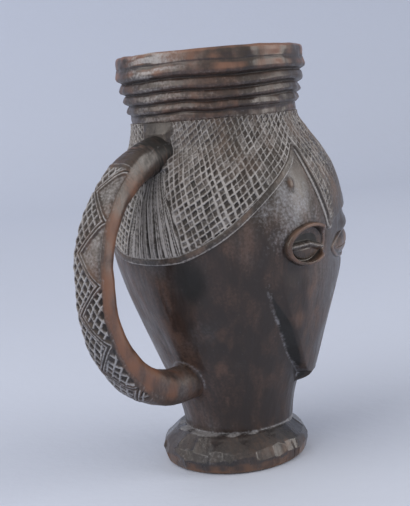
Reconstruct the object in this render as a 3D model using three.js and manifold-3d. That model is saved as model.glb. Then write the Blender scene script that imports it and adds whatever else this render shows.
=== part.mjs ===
// A palm wine cup carved from one block of dark wood as a head with a ringed rim, a foot and a loop handle.
// Millimetres, +Z up, the face looks along -Y and the handle stands out along +Y.
// The real cup is one piece of wood, so each mesh is a zone of the carving, parted on the carver's own lines.
import * as THREE from "three";
import { mergeVertices } from "three/addons/utils/BufferGeometryUtils.js";
import Module from "manifold-3d";

const wasm = await Module();
wasm.setup();

// Heights, stacked from the floor up: 200 mm in all.
const FOOT_HEIGHT = 16.5;
const NECK_HEIGHT = 14.5;
const HEAD_HEIGHT = 136.5;
const COLLAR_HEIGHT = 32.5;

// Foot and neck. The foot stands a little further back than the head does.
const FOOT_RADIUS = 37;
const FOOT_SET_BACK = 4;
const FOOT_LEDGE = 0.6; // the foot's top edge stands out this far round the neck
const NECK_BASE_RADIUS = 27;
const NECK_TOP_RADIUS = 29.8;

// Head: half width at the ears, and how far it reaches behind and in front of the axis.
const HEAD_HALF_WIDTH = 55.8;
const HEAD_BACK = 54.7;
const HEAD_FRONT = 66.2;
const THROAT_RADIUS = 39.4; // where the head meets the collar

// Face: a mask that stands proud of the head, with the jaw as its free edge.
const CHIN_SHARE = 0.073; // the jaw's widest line, as a share of the head's height
const FACE_TOP_SHARE = 0.505;
const CHIN_SLOPE = 5.5; // the underside of the jaw rises this much on its way out
const CHIN_TUCK = 10; // and it runs back this much under the chin
const FACE_FADE = 11; // the mask sinks into the head over this height
const BROW_INSET = 2.5;
const JAW_SIDE = 39.6;
const JAW_FRONT = 42.8;
const CHEEK_INSET = 1.6; // the cheeks stay this much inside the head's half width

// Hair: a plain band along the hairline, a lattice of raised lines inside it and a fan of ridges behind.
const HAIR_DEPTH = 1.4; // how far the band stands above the skin
const HAIR_BAND = 3.5;
const LATTICE_PITCH = 7.2; // about twice that of the real cup, to keep the faces few
const LATTICE_CUT = 1.05; // the lines stand this far above the middles of the pits
const LATTICE_INSET = 0.1; // and this far under the band
const GENTLE_LINE = 30; // degrees: one family of lines climbs like this toward the face
const STEEP_LINE = 77; // and the other like this toward the handle
const FAN_RIDGES = 11;
const FAN_CUT = 1;

// Collar: a plain band, ridges cut by grooves, and the rim.
const RIM_RADIUS = 44.9;
const RIM_WALL = 4.9;
const RIM_BAND = 7;
const RIDGE_COUNT = 4;
const RIDGE_RISE = 1.2; // a ridge above the groove under it
const FIRST_RIDGE_OUT = 1.9; // the lowest ridge stands out this far beyond the throat
const LAST_RIDGE_OUT = 1; // and the highest one this far beyond the rim
const COLLAR_BAND = 4.5;
const BAND_OUT = 0.7;
const EDGE_ROUND = 0.9;

// The bowl, hollowed from the top, and the wood left round it.
const THROAT_WALL = 5.9;
const BELLY_WALL = 9.7;
const BOWL_FLOOR = 24; // wood under the bowl, above the top of the neck

// Handle: a strap with a rounded outer face, thicker where it grows out of the wood.
const HANDLE_REACH = 88.6;
const HANDLE_UNDER_COLLAR = 12.5; // middle of the upper root below the collar
const HANDLE_ABOVE_NECK = 13.3; // middle of the lower root above the neck
const HANDLE_WIDTH = 19.6;
const HANDLE_ROOT_WIDTH = 16.4;
const HANDLE_THICKNESS = 11.4;
const HANDLE_ROOT_THICKNESS = 17.4;
const TOP_STUB = 4.1; // the stubs that the handle meets stand out this far from the head
const BOTTOM_STUB = 2.2;

// Ears, eyes, nose and mouth.
const EAR_LENGTH = 27;
const EAR_HEIGHT = 20;
const EAR_SHARE = 0.564; // how high up the head it sits
const EAR_ANGLE = 97.5; // degrees round from the middle of the face
const EAR_SINK = 2.8; // its seat is let this far into the head's half width
const EAR_DEPTH = 5.2;
const SEAT_CLEARANCE = 0.3;
const EYE_LENGTH = 50;
const EYE_HEIGHT = 15;
const EYE_RISE = 2.9;
const EYE_SHARE = 0.524;
const EYE_ANGLE = 50;
const NOSE_LENGTH = 40;
const NOSE_WIDTH = 27;
const NOSE_RISE = 10;
const NOSE_SHARE = 0.403;
const MOUTH_WIDTH = 32;
const LIP_HEIGHT = 3.3;
const LIP_RISE = 3.2;
const MOUTH_SHARE = 0.183;

// Steps round the axis and along the pieces.
const COLUMNS = 44;
const COLLAR_COLUMNS = 36;
const BOWL_COLUMNS = 28;
const HEAD_ROWS = 18;
const FACE_ROWS = 13;
const FACE_COLUMNS = 20;
const HANDLE_STEPS = 28;
const HANDLE_SIDES = 16;
const EYE_COLUMNS = 18;
const EAR_COLUMNS = 20;
const FAN_ROWS = 5;

const neckBase = FOOT_HEIGHT;
const headBase = neckBase + NECK_HEIGHT;
const collarBase = headBase + HEAD_HEIGHT;
const rimTop = collarBase + COLLAR_HEIGHT;
const headLevel = (share) => headBase + share * HEAD_HEIGHT;
const chinLevel = headLevel(CHIN_SHARE);
const faceTop = headLevel(FACE_TOP_SHARE);
const cheekSide = HEAD_HALF_WIDTH - CHEEK_INSET;
const throatBore = THROAT_RADIUS - THROAT_WALL;
const bowlRadius = Math.min(HEAD_BACK, HEAD_HALF_WIDTH) - BELLY_WALL;
const handleTop = collarBase - HANDLE_UNDER_COLLAR;
const handleBottom = headBase + HANDLE_ABOVE_NECK;

const wood = (name, colour, roughness) =>
  new THREE.MeshStandardMaterial({ name, color: colour, roughness, metalness: 0 });
const darkWood = wood("dark_wood", 0x33231b, 0.45);
const wornWood = wood("worn_wood", 0x52352a, 0.4);

const mix = (a, b, t) => a + (b - a) * t;
const radians = THREE.MathUtils.degToRad;
const range = (count) => Array.from({ length: count }, (_, i) => i);

// A smooth curve through [place, value] pairs that never overshoots them.
function smoothCurve(points) {
  const slope = (i) => (points[i + 1][1] - points[i][1]) / (points[i + 1][0] - points[i][0]);
  const last = points.length - 1;
  const tangents = points.map((_, i) => {
    if (i === 0) return slope(0);
    if (i === last) return slope(last - 1);
    const before = slope(i - 1);
    const after = slope(i);
    return before * after > 0 ? (2 * before * after) / (before + after) : 0;
  });
  return (place) => {
    const x = THREE.MathUtils.clamp(place, points[0][0], points[last][0]);
    const found = points.findIndex((point, i) => i > 0 && x <= point[0]);
    const i = found - 1;
    const width = points[i + 1][0] - points[i][0];
    const t = (x - points[i][0]) / width;
    return (
      (1 + 2 * t) * (1 - t) ** 2 * points[i][1] +
      t * (1 - t) ** 2 * width * tangents[i] +
      t * t * (3 - 2 * t) * points[i + 1][1] +
      t * t * (t - 1) * width * tangents[i + 1]
    );
  };
}

// The head's outline on one side: shares of its height, and shares of the swell from the neck's radius
// to the widest radius and from there to the throat's.
function headProfile(shape, wide) {
  const widest = shape.findIndex((point) => point[1] === 1);
  return smoothCurve(
    shape.map(([height, swell], i) => {
      const end = i < widest ? NECK_TOP_RADIUS : THROAT_RADIUS;
      return [headLevel(height), mix(end, wide, swell)];
    }),
  );
}
const sideOf = headProfile(
  [[0, 0], [0.15, 0.29], [0.29, 0.565], [0.43, 0.815], [0.55, 0.965], [0.637, 1], [0.725, 0.928],
    [0.8, 0.77], [0.872, 0.5], [0.945, 0.15], [1, 0]],
  HEAD_HALF_WIDTH,
);
const backOf = headProfile(
  [[0, 0], [0.15, 0.3], [0.29, 0.585], [0.43, 0.845], [0.51, 0.94], [0.6, 1], [0.725, 0.87],
    [0.8, 0.63], [0.872, 0.27], [0.93, 0.01], [1, 0]],
  HEAD_BACK,
);
const frontOf = headProfile(
  [[0, 0], [0.15, 0.25], [0.29, 0.52], [0.36, 0.69], [0.43, 0.9], [0.505, 0.99], [0.557, 1],
    [0.65, 0.97], [0.725, 0.89], [0.8, 0.77], [0.872, 0.54], [0.945, 0.24], [1, 0]],
  HEAD_FRONT,
);

// Radius of an oval section at an angle counted from the middle of the face.
function oval(angle, side, front, back) {
  const depth = Math.cos(angle) > 0 ? front : back;
  return 1 / Math.hypot(Math.sin(angle) / side, Math.cos(angle) / depth);
}
const skullRadius = (angle, z) => oval(angle, sideOf(z), frontOf(z), backOf(z));

// The face mask widens from the jaw to the cheeks, and its free edge runs from the ear down to the chin.
const faceSwell = smoothCurve([[0, 0], [0.15, 0.17], [0.32, 0.36], [0.49, 0.545], [0.68, 0.745], [0.83, 0.89], [1, 1]]);
const jawEdge = smoothCurve([[0, 71], [0.04, 79], [0.23, 90], [0.42, 98], [0.68, 107], [0.8, 110], [1.1, 113]]);
const jawCrease = smoothCurve([[0, 76], [0.19, 95], [0.32, 102.5], [0.48, 109.5], [0.68, 115], [0.86, 119], [1.1, 123]]);
const faceShare = (z) => (z - chinLevel) / (faceTop - chinLevel);
function faceRadius(angle, z) {
  const swell = faceSwell(faceShare(z));
  const under = Math.max(0, (chinLevel - z) / CHIN_SLOPE);
  const over = Math.max(0, (z - faceTop) / FACE_FADE + 1);
  const side = mix(JAW_SIDE, cheekSide, swell);
  const front = mix(JAW_FRONT, HEAD_FRONT, swell);
  const inset = CHIN_TUCK * under * under + BROW_INSET * over * over;
  return oval(angle, side, front, side) - inset;
}

// Skin of the face: the larger of mask and skull, eased together, and let into the skull at the brow.
const EASE = 2;
function surfaceRadius(angle, z) {
  const skull = skullRadius(angle, z);
  const mask = faceRadius(angle, z);
  const share = THREE.MathUtils.clamp(0.5 + (mask - skull) / (2 * EASE), 0, 1);
  return mix(skull, mask, share) + EASE * share * (1 - share);
}
const LET_IN = 0.35;
function faceSkin(angle, z) {
  return surfaceRadius(angle, z) - LET_IN * THREE.MathUtils.smoothstep(z, faceTop - FACE_FADE / 2, faceTop);
}

const spot = (angle, z, radius) => new THREE.Vector3(radius * Math.sin(angle), -radius * Math.cos(angle), z);
const around = (count) => range(count).map((i) => (i / count) * 2 * Math.PI);
const ringAt = (z, radius, columns = COLUMNS) => around(columns).map((angle) => spot(angle, z, radius(angle, z)));

// A closed solid through rings of equally many points, each counted anticlockwise seen from the last ring.
// Each patch between four points is split from its lower left corner, or from the right one where asked.
function loft(rings, startCentre = null, endCentre = null, fromRight = () => false) {
  const sides = rings[0].length;
  const centre = (ring) => ring.reduce((sum, p) => sum.add(p), new THREE.Vector3()).divideScalar(sides);
  const points = [...rings.flat(), startCentre ?? centre(rings[0]), endCentre ?? centre(rings.at(-1))];
  const start = points.length - 2;
  const end = points.length - 1;
  const index = [];
  for (const i of range(sides)) {
    const next = (i + 1) % sides;
    const top = (rings.length - 1) * sides;
    index.push(start, next, i, end, top + i, top + next);
    for (const row of range(rings.length - 1)) {
      const low = row * sides;
      const high = low + sides;
      if (fromRight(row, i)) index.push(low + i, low + next, high + i, low + next, high + next, high + i);
      else index.push(low + i, low + next, high + next, low + i, high + next, high + i);
    }
  }
  return new THREE.BufferGeometry().setFromPoints(points).setIndex(index);
}

// A closed three.js geometry as a manifold-3d solid, and back.
function solid(geometry) {
  const bare = geometry.clone();
  bare.deleteAttribute("normal");
  bare.deleteAttribute("uv");
  const merged = mergeVertices(bare, 1e-4);
  return new wasm.Manifold(
    new wasm.Mesh({
      numProp: 3,
      vertProperties: new Float32Array(merged.attributes.position.array),
      triVerts: new Uint32Array(merged.index.array),
    }),
  );
}
function geometryOf(made) {
  const mesh = made.getMesh();
  const geometry = new THREE.BufferGeometry();
  geometry.setAttribute("position", new THREE.BufferAttribute(new Float32Array(mesh.vertProperties), 3));
  geometry.setIndex(new THREE.BufferAttribute(new Uint32Array(mesh.triVerts), 1));
  geometry.computeVertexNormals();
  return geometry;
}

// Foot: a swelling ring with a flat underside, its middle moving back as it widens.
function footGeometry() {
  const profile = [[0, 0.9], [0.05, 0.945], [0.14, 0.98], [0.34, 1], [0.58, 0.97], [0.78, 0.89], [0.93, 0.79]];
  const ring = (z, radius, back) =>
    around(COLUMNS).map((angle) => spot(angle, z, radius).add(new THREE.Vector3(0, back, 0)));
  const rings = profile.map(([height, share]) => ring(height * FOOT_HEIGHT, share * FOOT_RADIUS, FOOT_SET_BACK));
  rings.push(ring(FOOT_HEIGHT, NECK_BASE_RADIUS + FOOT_LEDGE, 0));
  return loft(rings);
}

// Neck: the short stem between the foot and the head.
function neckGeometry() {
  const flare = smoothCurve([[0, 0], [0.5, 0.45], [1, 1]]);
  return loft(
    range(4).map((i) => {
      const share = i / 3;
      const radius = mix(NECK_BASE_RADIUS, NECK_TOP_RADIUS, flare(share));
      return ringAt(mix(neckBase, headBase, share), () => radius);
    }),
  );
}

// Skull: the swelling body of the head without its face.
function skullSolid(extra = 0, from = headBase) {
  const steps = Math.ceil((HEAD_ROWS * (collarBase - from)) / HEAD_HEIGHT);
  const rows = range(steps + 1).map((i) => mix(from, collarBase, i / steps));
  return solid(loft(rows.map((z) => ringAt(z, (angle, level) => skullRadius(angle, level) + extra))));
}

// Face: rows from the underside of the jaw to above the eyes, each ending at the jaw's edge. From there a
// wall slopes back to the crease and turns straight into the head, so that the two meet in a clean line.
function faceSolid() {
  const low = chinLevel - CHIN_SLOPE;
  const high = faceTop + FACE_FADE * 0.36;
  const core = JAW_FRONT * 0.25;
  const rows = [
    ...range(3).map((i) => mix(low, chinLevel, i / 3)),
    ...range(FACE_ROWS).map((i) => mix(chinLevel, high, i / (FACE_ROWS - 1))),
  ];
  const rings = rows.map((z) => {
    const edge = radians(jawEdge(faceShare(z)));
    const crease = radians(jawCrease(faceShare(z)));
    const front = range(FACE_COLUMNS + 1).map((i) => {
      const angle = mix(-edge, edge, i / FACE_COLUMNS);
      return spot(angle, z, faceSkin(angle, z));
    });
    const foot = skullRadius(crease, z);
    const wall = (side) => [spot(side * crease, z, foot), spot(side * crease, z, foot - JAW_FRONT * 0.1)];
    return [new THREE.Vector3(0, core, z), ...wall(-1).reverse(), ...front, ...wall(1)];
  });
  const inside = (z) => new THREE.Vector3(0, -core, z);
  return solid(loft(rings, inside(low), inside(high)));
}

// Hair: the head's form a little larger, kept only above the hairline. Each pair is degrees round from the
// middle of the face and a share of the head's height.
const HAIRLINE = [[0, 0.681], [30, 0.67], [60, 0.648], [72, 0.626], [78, 0.612], [84.5, 0.718], [91, 0.879], [98, 0.834],
  [107, 0.784], [115, 0.744], [123, 0.7], [132, 0.651], [141.5, 0.607], [151, 0.573], [161, 0.548], [180, 0.539]];
function hairline(angle) {
  const turn = Math.abs(THREE.MathUtils.radToDeg(Math.atan2(Math.sin(angle), Math.cos(angle))));
  const i = HAIRLINE.findIndex((point, k) => k > 0 && turn <= point[0] + 1e-9) - 1;
  const [from, low] = HAIRLINE[i];
  const [to, high] = HAIRLINE[i + 1];
  return headLevel(mix(low, high, (turn - from) / (to - from)));
}
// The line at a given distance above the hairline, as the highest reach of a disc that rolls along it.
function lifted(angle, distance) {
  const reach = distance / HEAD_HALF_WIDTH;
  const heights = range(9).map((i) => {
    const share = i / 4 - 1;
    return hairline(angle + share * reach) + distance * Math.sqrt(1 - share * share);
  });
  return Math.max(...heights);
}

// Everything above that line, with a corner at each of the hairline's own.
function aboveHairline(distance) {
  const turns = HAIRLINE.map(([turn]) => turn);
  const back = turns.slice(1, -1).reverse();
  const angles = [...turns, ...back.map((turn) => 360 - turn)].map(radians);
  const ring = (radius, level) => angles.map((angle) => spot(angle, level(angle), radius));
  const line = (angle) => lifted(angle, distance);
  const outer = HEAD_FRONT * 1.3;
  return solid(loft([ring(HEAD_HALF_WIDTH * 0.4, line), ring(outer, line), ring(outer, () => rimTop)]));
}

// Lattice: rings whose points lie by turns on the raised lines and in the pits between them. Each ring is
// turned against the one under it, which makes one family of lines gentle and the other steep. The pattern
// is made for one side and mirrored.
const HALVES_OVERLAP = 0.05;
function latticeSolid(from) {
  const gentleRun = 1 / Math.tan(radians(GENTLE_LINE)); // sideways run of a line as it climbs 1 mm
  const steepRun = 1 / Math.tan(radians(STEEP_LINE));
  const halfCell = (gentleRun + steepRun) / 2;
  const lean = (gentleRun - steepRun) / 2;
  const rowHeight = (LATTICE_PITCH * Math.hypot(steepRun, 1)) / (2 * halfCell);
  const rows = Math.round((collarBase - from) / rowHeight);
  const columns = 2 * Math.round((Math.PI * HEAD_HALF_WIDTH) / (halfCell * rowHeight));
  const offLine = (row, column) => row < rows && (row + column) % 2 === 1;
  const rings = range(rows + 1).map((row) => {
    const z = mix(from, collarBase, row / rows);
    const turned = (-lean * (z - from)) / HEAD_HALF_WIDTH;
    return around(columns).map((angle, column) => {
      const rise = HAIR_DEPTH - LATTICE_INSET - (offLine(row, column) ? LATTICE_CUT : 0);
      return spot(angle + turned, z, skullRadius(angle + turned, z) + rise);
    });
  });
  const half = solid(loft(rings, null, null, offLine)).trimByPlane([1, 0, 0], -HALVES_OVERLAP);
  return half.add(half.mirror([1, 0, 0]));
}

// Fan: ridges that spread over the nape from under the handle's upper root. Uncut, raised and a little
// narrower, it is the space that the lattice leaves for it.
function fanSolid(from, cut, raised = 0) {
  const top = handleTop - HANDLE_ROOT_THICKNESS / 2;
  const halfWidth = smoothCurve([[0, 19], [0.5, 15.5], [0.8, 9], [1, 3]]);
  const points = 2 * FAN_RIDGES + 1;
  const rings = range(FAN_ROWS).map((row) => {
    const share = row / (FAN_ROWS - 1);
    const z = mix(from, top, share);
    const half = radians(halfWidth(share) - raised);
    const edge = range(points).map((k) => {
      const angle = Math.PI + mix(-half, half, k / (points - 1));
      return spot(angle, z, skullRadius(angle, z) + HAIR_DEPTH + raised - (k % 2 ? 0 : cut));
    });
    const inner = skullRadius(Math.PI, z) * 0.9;
    return [...edge, spot(Math.PI + half, z, inner), spot(Math.PI - half, z, inner)];
  });
  return solid(loft(rings));
}

function hairSolid() {
  const lowest = headLevel(Math.min(...HAIRLINE.map((point) => point[1])) - 0.044);
  const band = skullSolid(HAIR_DEPTH, lowest).intersect(aboveHairline(0)).subtract(aboveHairline(HAIR_BAND));
  const inside = aboveHairline(HAIR_BAND / 2);
  const lattice = latticeSolid(lowest).intersect(inside).subtract(fanSolid(lowest, 0, 1));
  return band.add(lattice).add(fanSolid(lowest, FAN_CUT).intersect(inside));
}

// Lays a relief, drawn flat with its height along z, on the head's surface round a given angle and level.
function drape(geometry, angle, level) {
  const centreRadius = surfaceRadius(angle, level);
  const place = geometry.attributes.position;
  for (const i of range(place.count)) {
    const turn = angle + place.getX(i) / centreRadius;
    const z = level + place.getY(i);
    place.setXYZ(i, ...spot(turn, z, surfaceRadius(turn, z) + place.getZ(i)).toArray());
  }
  return solid(geometry);
}

// Eye: an almond with a raised rim, a groove inside it and the closed lid swelling in the middle.
const EYE_PROFILE = [[0, -0.7], [1.08, -0.7], [1.04, 0.2], [0.95, 0.41], [0.78, 0.07], [0.6, 0.52], [0.32, 0.86],
  [0, 1]];
function eyeSolid(side) {
  const profile = EYE_PROFILE.map(([share, rise]) => new THREE.Vector2(share, rise * EYE_RISE));
  const eye = new THREE.LatheGeometry(profile, EYE_COLUMNS);
  eye.rotateX(Math.PI / 2);
  const place = eye.attributes.position;
  for (const i of range(place.count)) {
    const along = place.getX(i);
    const turn = Math.atan2(place.getY(i), along);
    const pinch = 1 - 0.45 * Math.cos(turn) ** 4;
    place.setXYZ(i, (along * EYE_LENGTH) / 2, (place.getY(i) * pinch * EYE_HEIGHT) / 2, place.getZ(i));
  }
  return drape(eye, side * radians(EYE_ANGLE), headLevel(EYE_SHARE));
}

// Nose: narrow between the eyes, broad and highest at its base, with a wing on each side.
function noseSolid() {
  const level = headLevel(NOSE_SHARE);
  const nose = new THREE.SphereGeometry(1, 14, 10);
  const place = nose.attributes.position;
  for (const i of range(place.count)) {
    const down = (1 - place.getY(i)) / 2;
    const breadth = mix(0.42, 0.86, down ** 1.5) * (NOSE_WIDTH / 2);
    const rise = mix(0.35, 1, down) * NOSE_RISE;
    place.setXYZ(i, place.getX(i) * breadth, (place.getY(i) * NOSE_LENGTH) / 2, place.getZ(i) * rise);
  }
  const wing = (side) => {
    const form = new THREE.SphereGeometry(1, 10, 6);
    form.scale(NOSE_WIDTH * 0.24, NOSE_WIDTH * 0.2, NOSE_RISE * 0.6);
    form.translate(side * NOSE_WIDTH * 0.28, 0, 0);
    return drape(form, 0, level - NOSE_LENGTH * 0.35);
  };
  return drape(nose, 0, level).add(wing(-1)).add(wing(1));
}

// Mouth: two full lips that meet in a level line.
function mouthSolid() {
  const lip = (side) => {
    const form = new THREE.SphereGeometry(1, 12, 6);
    form.scale(MOUTH_WIDTH / 2, LIP_HEIGHT, LIP_RISE);
    return drape(form, 0, headLevel(MOUTH_SHARE) + side * LIP_HEIGHT * 0.86);
  };
  return lip(1).add(lip(-1));
}

// Strap: the whole handle as a swept section, from inside the head to inside the neck.
const HANDLE_SHAPE = [[0, 1], [0.2, 0.993], [0.4, 0.965], [0.6, 0.915], [0.78, 0.828], [0.92, 0.71], [0.995, 0.572],
  [1, 0.44], [0.952, 0.309], [0.84, 0.192], [0.67, 0.092], [0.46, 0.029], [0.24, 0.002], [0, 0]];
function strapSolid() {
  const path = new THREE.CatmullRomCurve3(
    HANDLE_SHAPE.map(
      ([out, up]) =>
        new THREE.Vector3(0, mix(NECK_TOP_RADIUS, HANDLE_REACH, out), mix(handleBottom, handleTop, up)),
    ),
    false,
    "centripetal",
  );
  const across = new THREE.Vector3(1, 0, 0);
  const width = smoothCurve([[0, HANDLE_ROOT_WIDTH], [0.12, HANDLE_ROOT_WIDTH], [0.4, HANDLE_WIDTH],
    [0.65, HANDLE_WIDTH], [0.88, HANDLE_ROOT_WIDTH], [1, HANDLE_ROOT_WIDTH]]);
  const thickness = smoothCurve([[0, HANDLE_ROOT_THICKNESS], [0.1, HANDLE_ROOT_THICKNESS * 0.92],
    [0.28, HANDLE_THICKNESS * 1.06], [0.5, HANDLE_THICKNESS], [0.66, mix(HANDLE_THICKNESS, HANDLE_ROOT_THICKNESS, 0.4)],
    [0.82, mix(HANDLE_THICKNESS, HANDLE_ROOT_THICKNESS, 0.85)], [1, HANDLE_ROOT_THICKNESS]]);
  const rings = range(HANDLE_STEPS + 1).map((i) => {
    const share = i / HANDLE_STEPS;
    const middle = path.getPointAt(share);
    const outward = path.getTangentAt(share).cross(across);
    return around(HANDLE_SIDES).map((angle) => {
      const sideways = (Math.sign(Math.cos(angle)) * Math.abs(Math.cos(angle)) ** 0.85 * width(share)) / 2;
      const flatter = Math.sin(angle) > 0 ? 1 : 0.8;
      const out = (Math.sign(Math.sin(angle)) * Math.abs(Math.sin(angle)) ** flatter * thickness(share)) / 2;
      return middle.clone().addScaledVector(across, -sideways).addScaledVector(outward, -out);
    });
  });
  return solid(loft(rings));
}

// The space outside the two seats, where the free part of the strap lies.
function outsideSeats() {
  const middle = (handleTop + handleBottom) / 2;
  const far = 2 * HANDLE_REACH;
  const slab = (seat, low, high) => {
    const box = new THREE.BoxGeometry(far, far, high - low);
    box.translate(0, seat + far / 2, (low + high) / 2);
    return solid(box);
  };
  const topSeat = backOf(handleTop - HANDLE_ROOT_THICKNESS / 2) + TOP_STUB;
  const bottomSeat = backOf(handleBottom + HANDLE_ROOT_THICKNESS / 2) + BOTTOM_STUB;
  return slab(topSeat, middle, 2 * rimTop).add(slab(bottomSeat, -rimTop, middle));
}

// Bowl: the hollow for the wine, round inside, wide in the head and narrow at the throat.
function bowlSolid() {
  const swell = (share) => mix(throatBore, bowlRadius, share);
  const shape = [[0, throatBore], [0.13, swell(0.25)], [0.27, swell(0.72)], [0.42, swell(0.98)], [0.48, bowlRadius],
    [0.62, bowlRadius * 0.95], [0.78, bowlRadius * 0.78], [0.9, bowlRadius * 0.54], [0.97, bowlRadius * 0.3]];
  const inHead = HEAD_HEIGHT - BOWL_FLOOR;
  const wall = smoothCurve(shape);
  const profile = [new THREE.Vector2(0, collarBase - inHead)];
  for (const share of [0.99, 0.96, 0.9, 0.8, 0.68, 0.54, 0.4, 0.26, 0.13, 0]) {
    profile.push(new THREE.Vector2(wall(share) * Math.min(1, (1 - share) * 30 + 0.4), collarBase - share * inHead));
  }
  profile.push(new THREE.Vector2(throatBore, rimTop), new THREE.Vector2(0, rimTop));
  const bowl = new THREE.LatheGeometry(profile, BOWL_COLUMNS);
  bowl.rotateX(Math.PI / 2);
  return solid(bowl);
}

// Collar: a plain band at the foot of it, ridges that widen as they climb, and the rim.
function collarGeometry() {
  const outer = [new THREE.Vector2(THROAT_RADIUS, collarBase)];
  const bandTop = collarBase + COLLAR_BAND;
  const ridgeHeight = (rimTop - RIM_BAND - bandTop) / RIDGE_COUNT;
  outer.push(new THREE.Vector2(THROAT_RADIUS + BAND_OUT, collarBase + COLLAR_BAND * 0.27));
  outer.push(new THREE.Vector2(THROAT_RADIUS + BAND_OUT * 0.7, bandTop));
  for (const i of range(RIDGE_COUNT)) {
    const low = bandTop + i * ridgeHeight;
    const crest = mix(THROAT_RADIUS + FIRST_RIDGE_OUT, RIM_RADIUS + LAST_RIDGE_OUT, i / (RIDGE_COUNT - 1));
    for (const [share, inset] of [[0.3, 0.4], [0.52, 0], [0.78, 0.25]]) {
      outer.push(new THREE.Vector2(crest - inset * RIDGE_RISE, low + share * ridgeHeight));
    }
    outer.push(new THREE.Vector2(crest - RIDGE_RISE * (i < RIDGE_COUNT - 1 ? 0.6 : 0.9), low + ridgeHeight));
  }
  outer.push(
    new THREE.Vector2(RIM_RADIUS, rimTop - EDGE_ROUND),
    new THREE.Vector2(RIM_RADIUS - EDGE_ROUND, rimTop),
    new THREE.Vector2(RIM_RADIUS - RIM_WALL + EDGE_ROUND, rimTop),
    new THREE.Vector2(RIM_RADIUS - RIM_WALL, rimTop - EDGE_ROUND),
  );
  const bore = smoothCurve([[0, throatBore], [0.5, mix(throatBore, RIM_RADIUS - RIM_WALL, 0.45)],
    [1, RIM_RADIUS - RIM_WALL]]);
  for (const share of [0.66, 0.33, 0]) {
    outer.push(new THREE.Vector2(bore(share), collarBase + share * (COLLAR_HEIGHT - EDGE_ROUND)));
  }
  outer.push(outer[0].clone());
  const collar = new THREE.LatheGeometry(outer, COLLAR_COLUMNS);
  collar.rotateX(Math.PI / 2);
  return collar;
}

// Ear: an oval dish with a rolled rim and a tongue in its lower half. Its seat is turned to the head's side.
const EAR_PROFILE = [[1, 0], [1, 0.5], [0.96, 0.84], [0.88, 1], [0.79, 0.86], [0.72, 0.42], [0, 0.36]];
function placeOnSeat(geometry, side) {
  geometry.rotateX(Math.PI / 2);
  geometry.rotateY(Math.PI / 2);
  geometry.translate(HEAD_HALF_WIDTH - EAR_SINK, 0, headLevel(EAR_SHARE));
  geometry.rotateZ(radians(EAR_ANGLE - 90));
  if (side < 0) {
    geometry.scale(-1, 1, 1);
    const index = geometry.index.array;
    for (let i = 0; i < index.length; i += 3) [index[i + 1], index[i + 2]] = [index[i + 2], index[i + 1]];
  }
  return solid(geometry);
}
function ovalTurned(profile, grow) {
  const points = profile.map(([share, height]) => new THREE.Vector2(share, height * EAR_DEPTH));
  const form = new THREE.LatheGeometry([new THREE.Vector2(0, 0), ...points], EAR_COLUMNS);
  form.scale(EAR_HEIGHT / 2 + grow, 1, EAR_LENGTH / 2 + grow);
  return form;
}
function earSolid(side) {
  const tongue = new THREE.SphereGeometry(1, 12, 6);
  tongue.scale(EAR_HEIGHT * 0.2, EAR_DEPTH * 0.42, EAR_LENGTH * 0.33);
  tongue.translate(EAR_HEIGHT * 0.16, EAR_DEPTH * 0.4, -EAR_LENGTH * 0.02);
  return placeOnSeat(ovalTurned(EAR_PROFILE, 0), side).add(placeOnSeat(tongue, side));
}
function earPocket(side) {
  const pocket = ovalTurned([[1, 0], [1, 3], [0, 3]], SEAT_CLEARANCE);
  pocket.translate(0, -SEAT_CLEARANCE, 0);
  return placeOnSeat(pocket, side);
}

const strap = strapSolid();
const freeSpace = outsideSeats();
const handleSolid = strap.intersect(freeSpace);
const stubs = strap.subtract(freeSpace);

let headSolid = skullSolid().add(faceSolid()).add(hairSolid()).add(stubs).add(noseSolid()).add(mouthSolid());
for (const side of [-1, 1]) headSolid = headSolid.add(eyeSolid(side)).subtract(earPocket(side));
headSolid = headSolid.subtract(bowlSolid());

const cup = new THREE.Group();
cup.name = "palm_wine_cup";
cup.position.set(0, -FOOT_SET_BACK, 0); // the middle of the foot is the origin
const addZone = (name, geometry, material) => {
  const zone = new THREE.Mesh(geometry, material);
  zone.name = name;
  cup.add(zone);
};
addZone("foot", footGeometry(), wornWood);
addZone("neck", neckGeometry(), darkWood);
addZone("head", geometryOf(headSolid), darkWood);
addZone("collar", collarGeometry(), wornWood);
addZone("handle", geometryOf(handleSolid), wornWood);
addZone("ear_left", geometryOf(earSolid(1)), wornWood);
addZone("ear_right", geometryOf(earSolid(-1)), wornWood);

export default cup;
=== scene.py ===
import bpy
import numpy as np
from mathutils import Matrix


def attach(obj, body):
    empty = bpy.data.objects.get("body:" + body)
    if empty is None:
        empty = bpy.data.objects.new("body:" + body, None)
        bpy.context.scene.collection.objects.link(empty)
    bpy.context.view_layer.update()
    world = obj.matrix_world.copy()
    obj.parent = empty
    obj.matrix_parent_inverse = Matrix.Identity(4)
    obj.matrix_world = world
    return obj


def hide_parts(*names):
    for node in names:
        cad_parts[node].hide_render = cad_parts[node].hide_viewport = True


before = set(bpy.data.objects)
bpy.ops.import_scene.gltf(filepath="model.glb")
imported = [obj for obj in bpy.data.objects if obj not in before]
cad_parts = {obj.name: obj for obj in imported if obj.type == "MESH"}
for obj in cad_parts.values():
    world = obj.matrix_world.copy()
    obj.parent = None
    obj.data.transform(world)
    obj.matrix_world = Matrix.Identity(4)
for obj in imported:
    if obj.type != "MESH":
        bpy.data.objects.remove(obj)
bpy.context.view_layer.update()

# Foot: a swelling ring left standing at the bottom of the block. Its upper side was faced off with short
# chisel cuts, the lower edge is rubbed brown, and two small cracks have opened in it.
MM = 0.001
FOOT_SET_BACK = 4.0
FOOT_HEIGHT = 16.5
UNDER_NECK = 24.0
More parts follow.
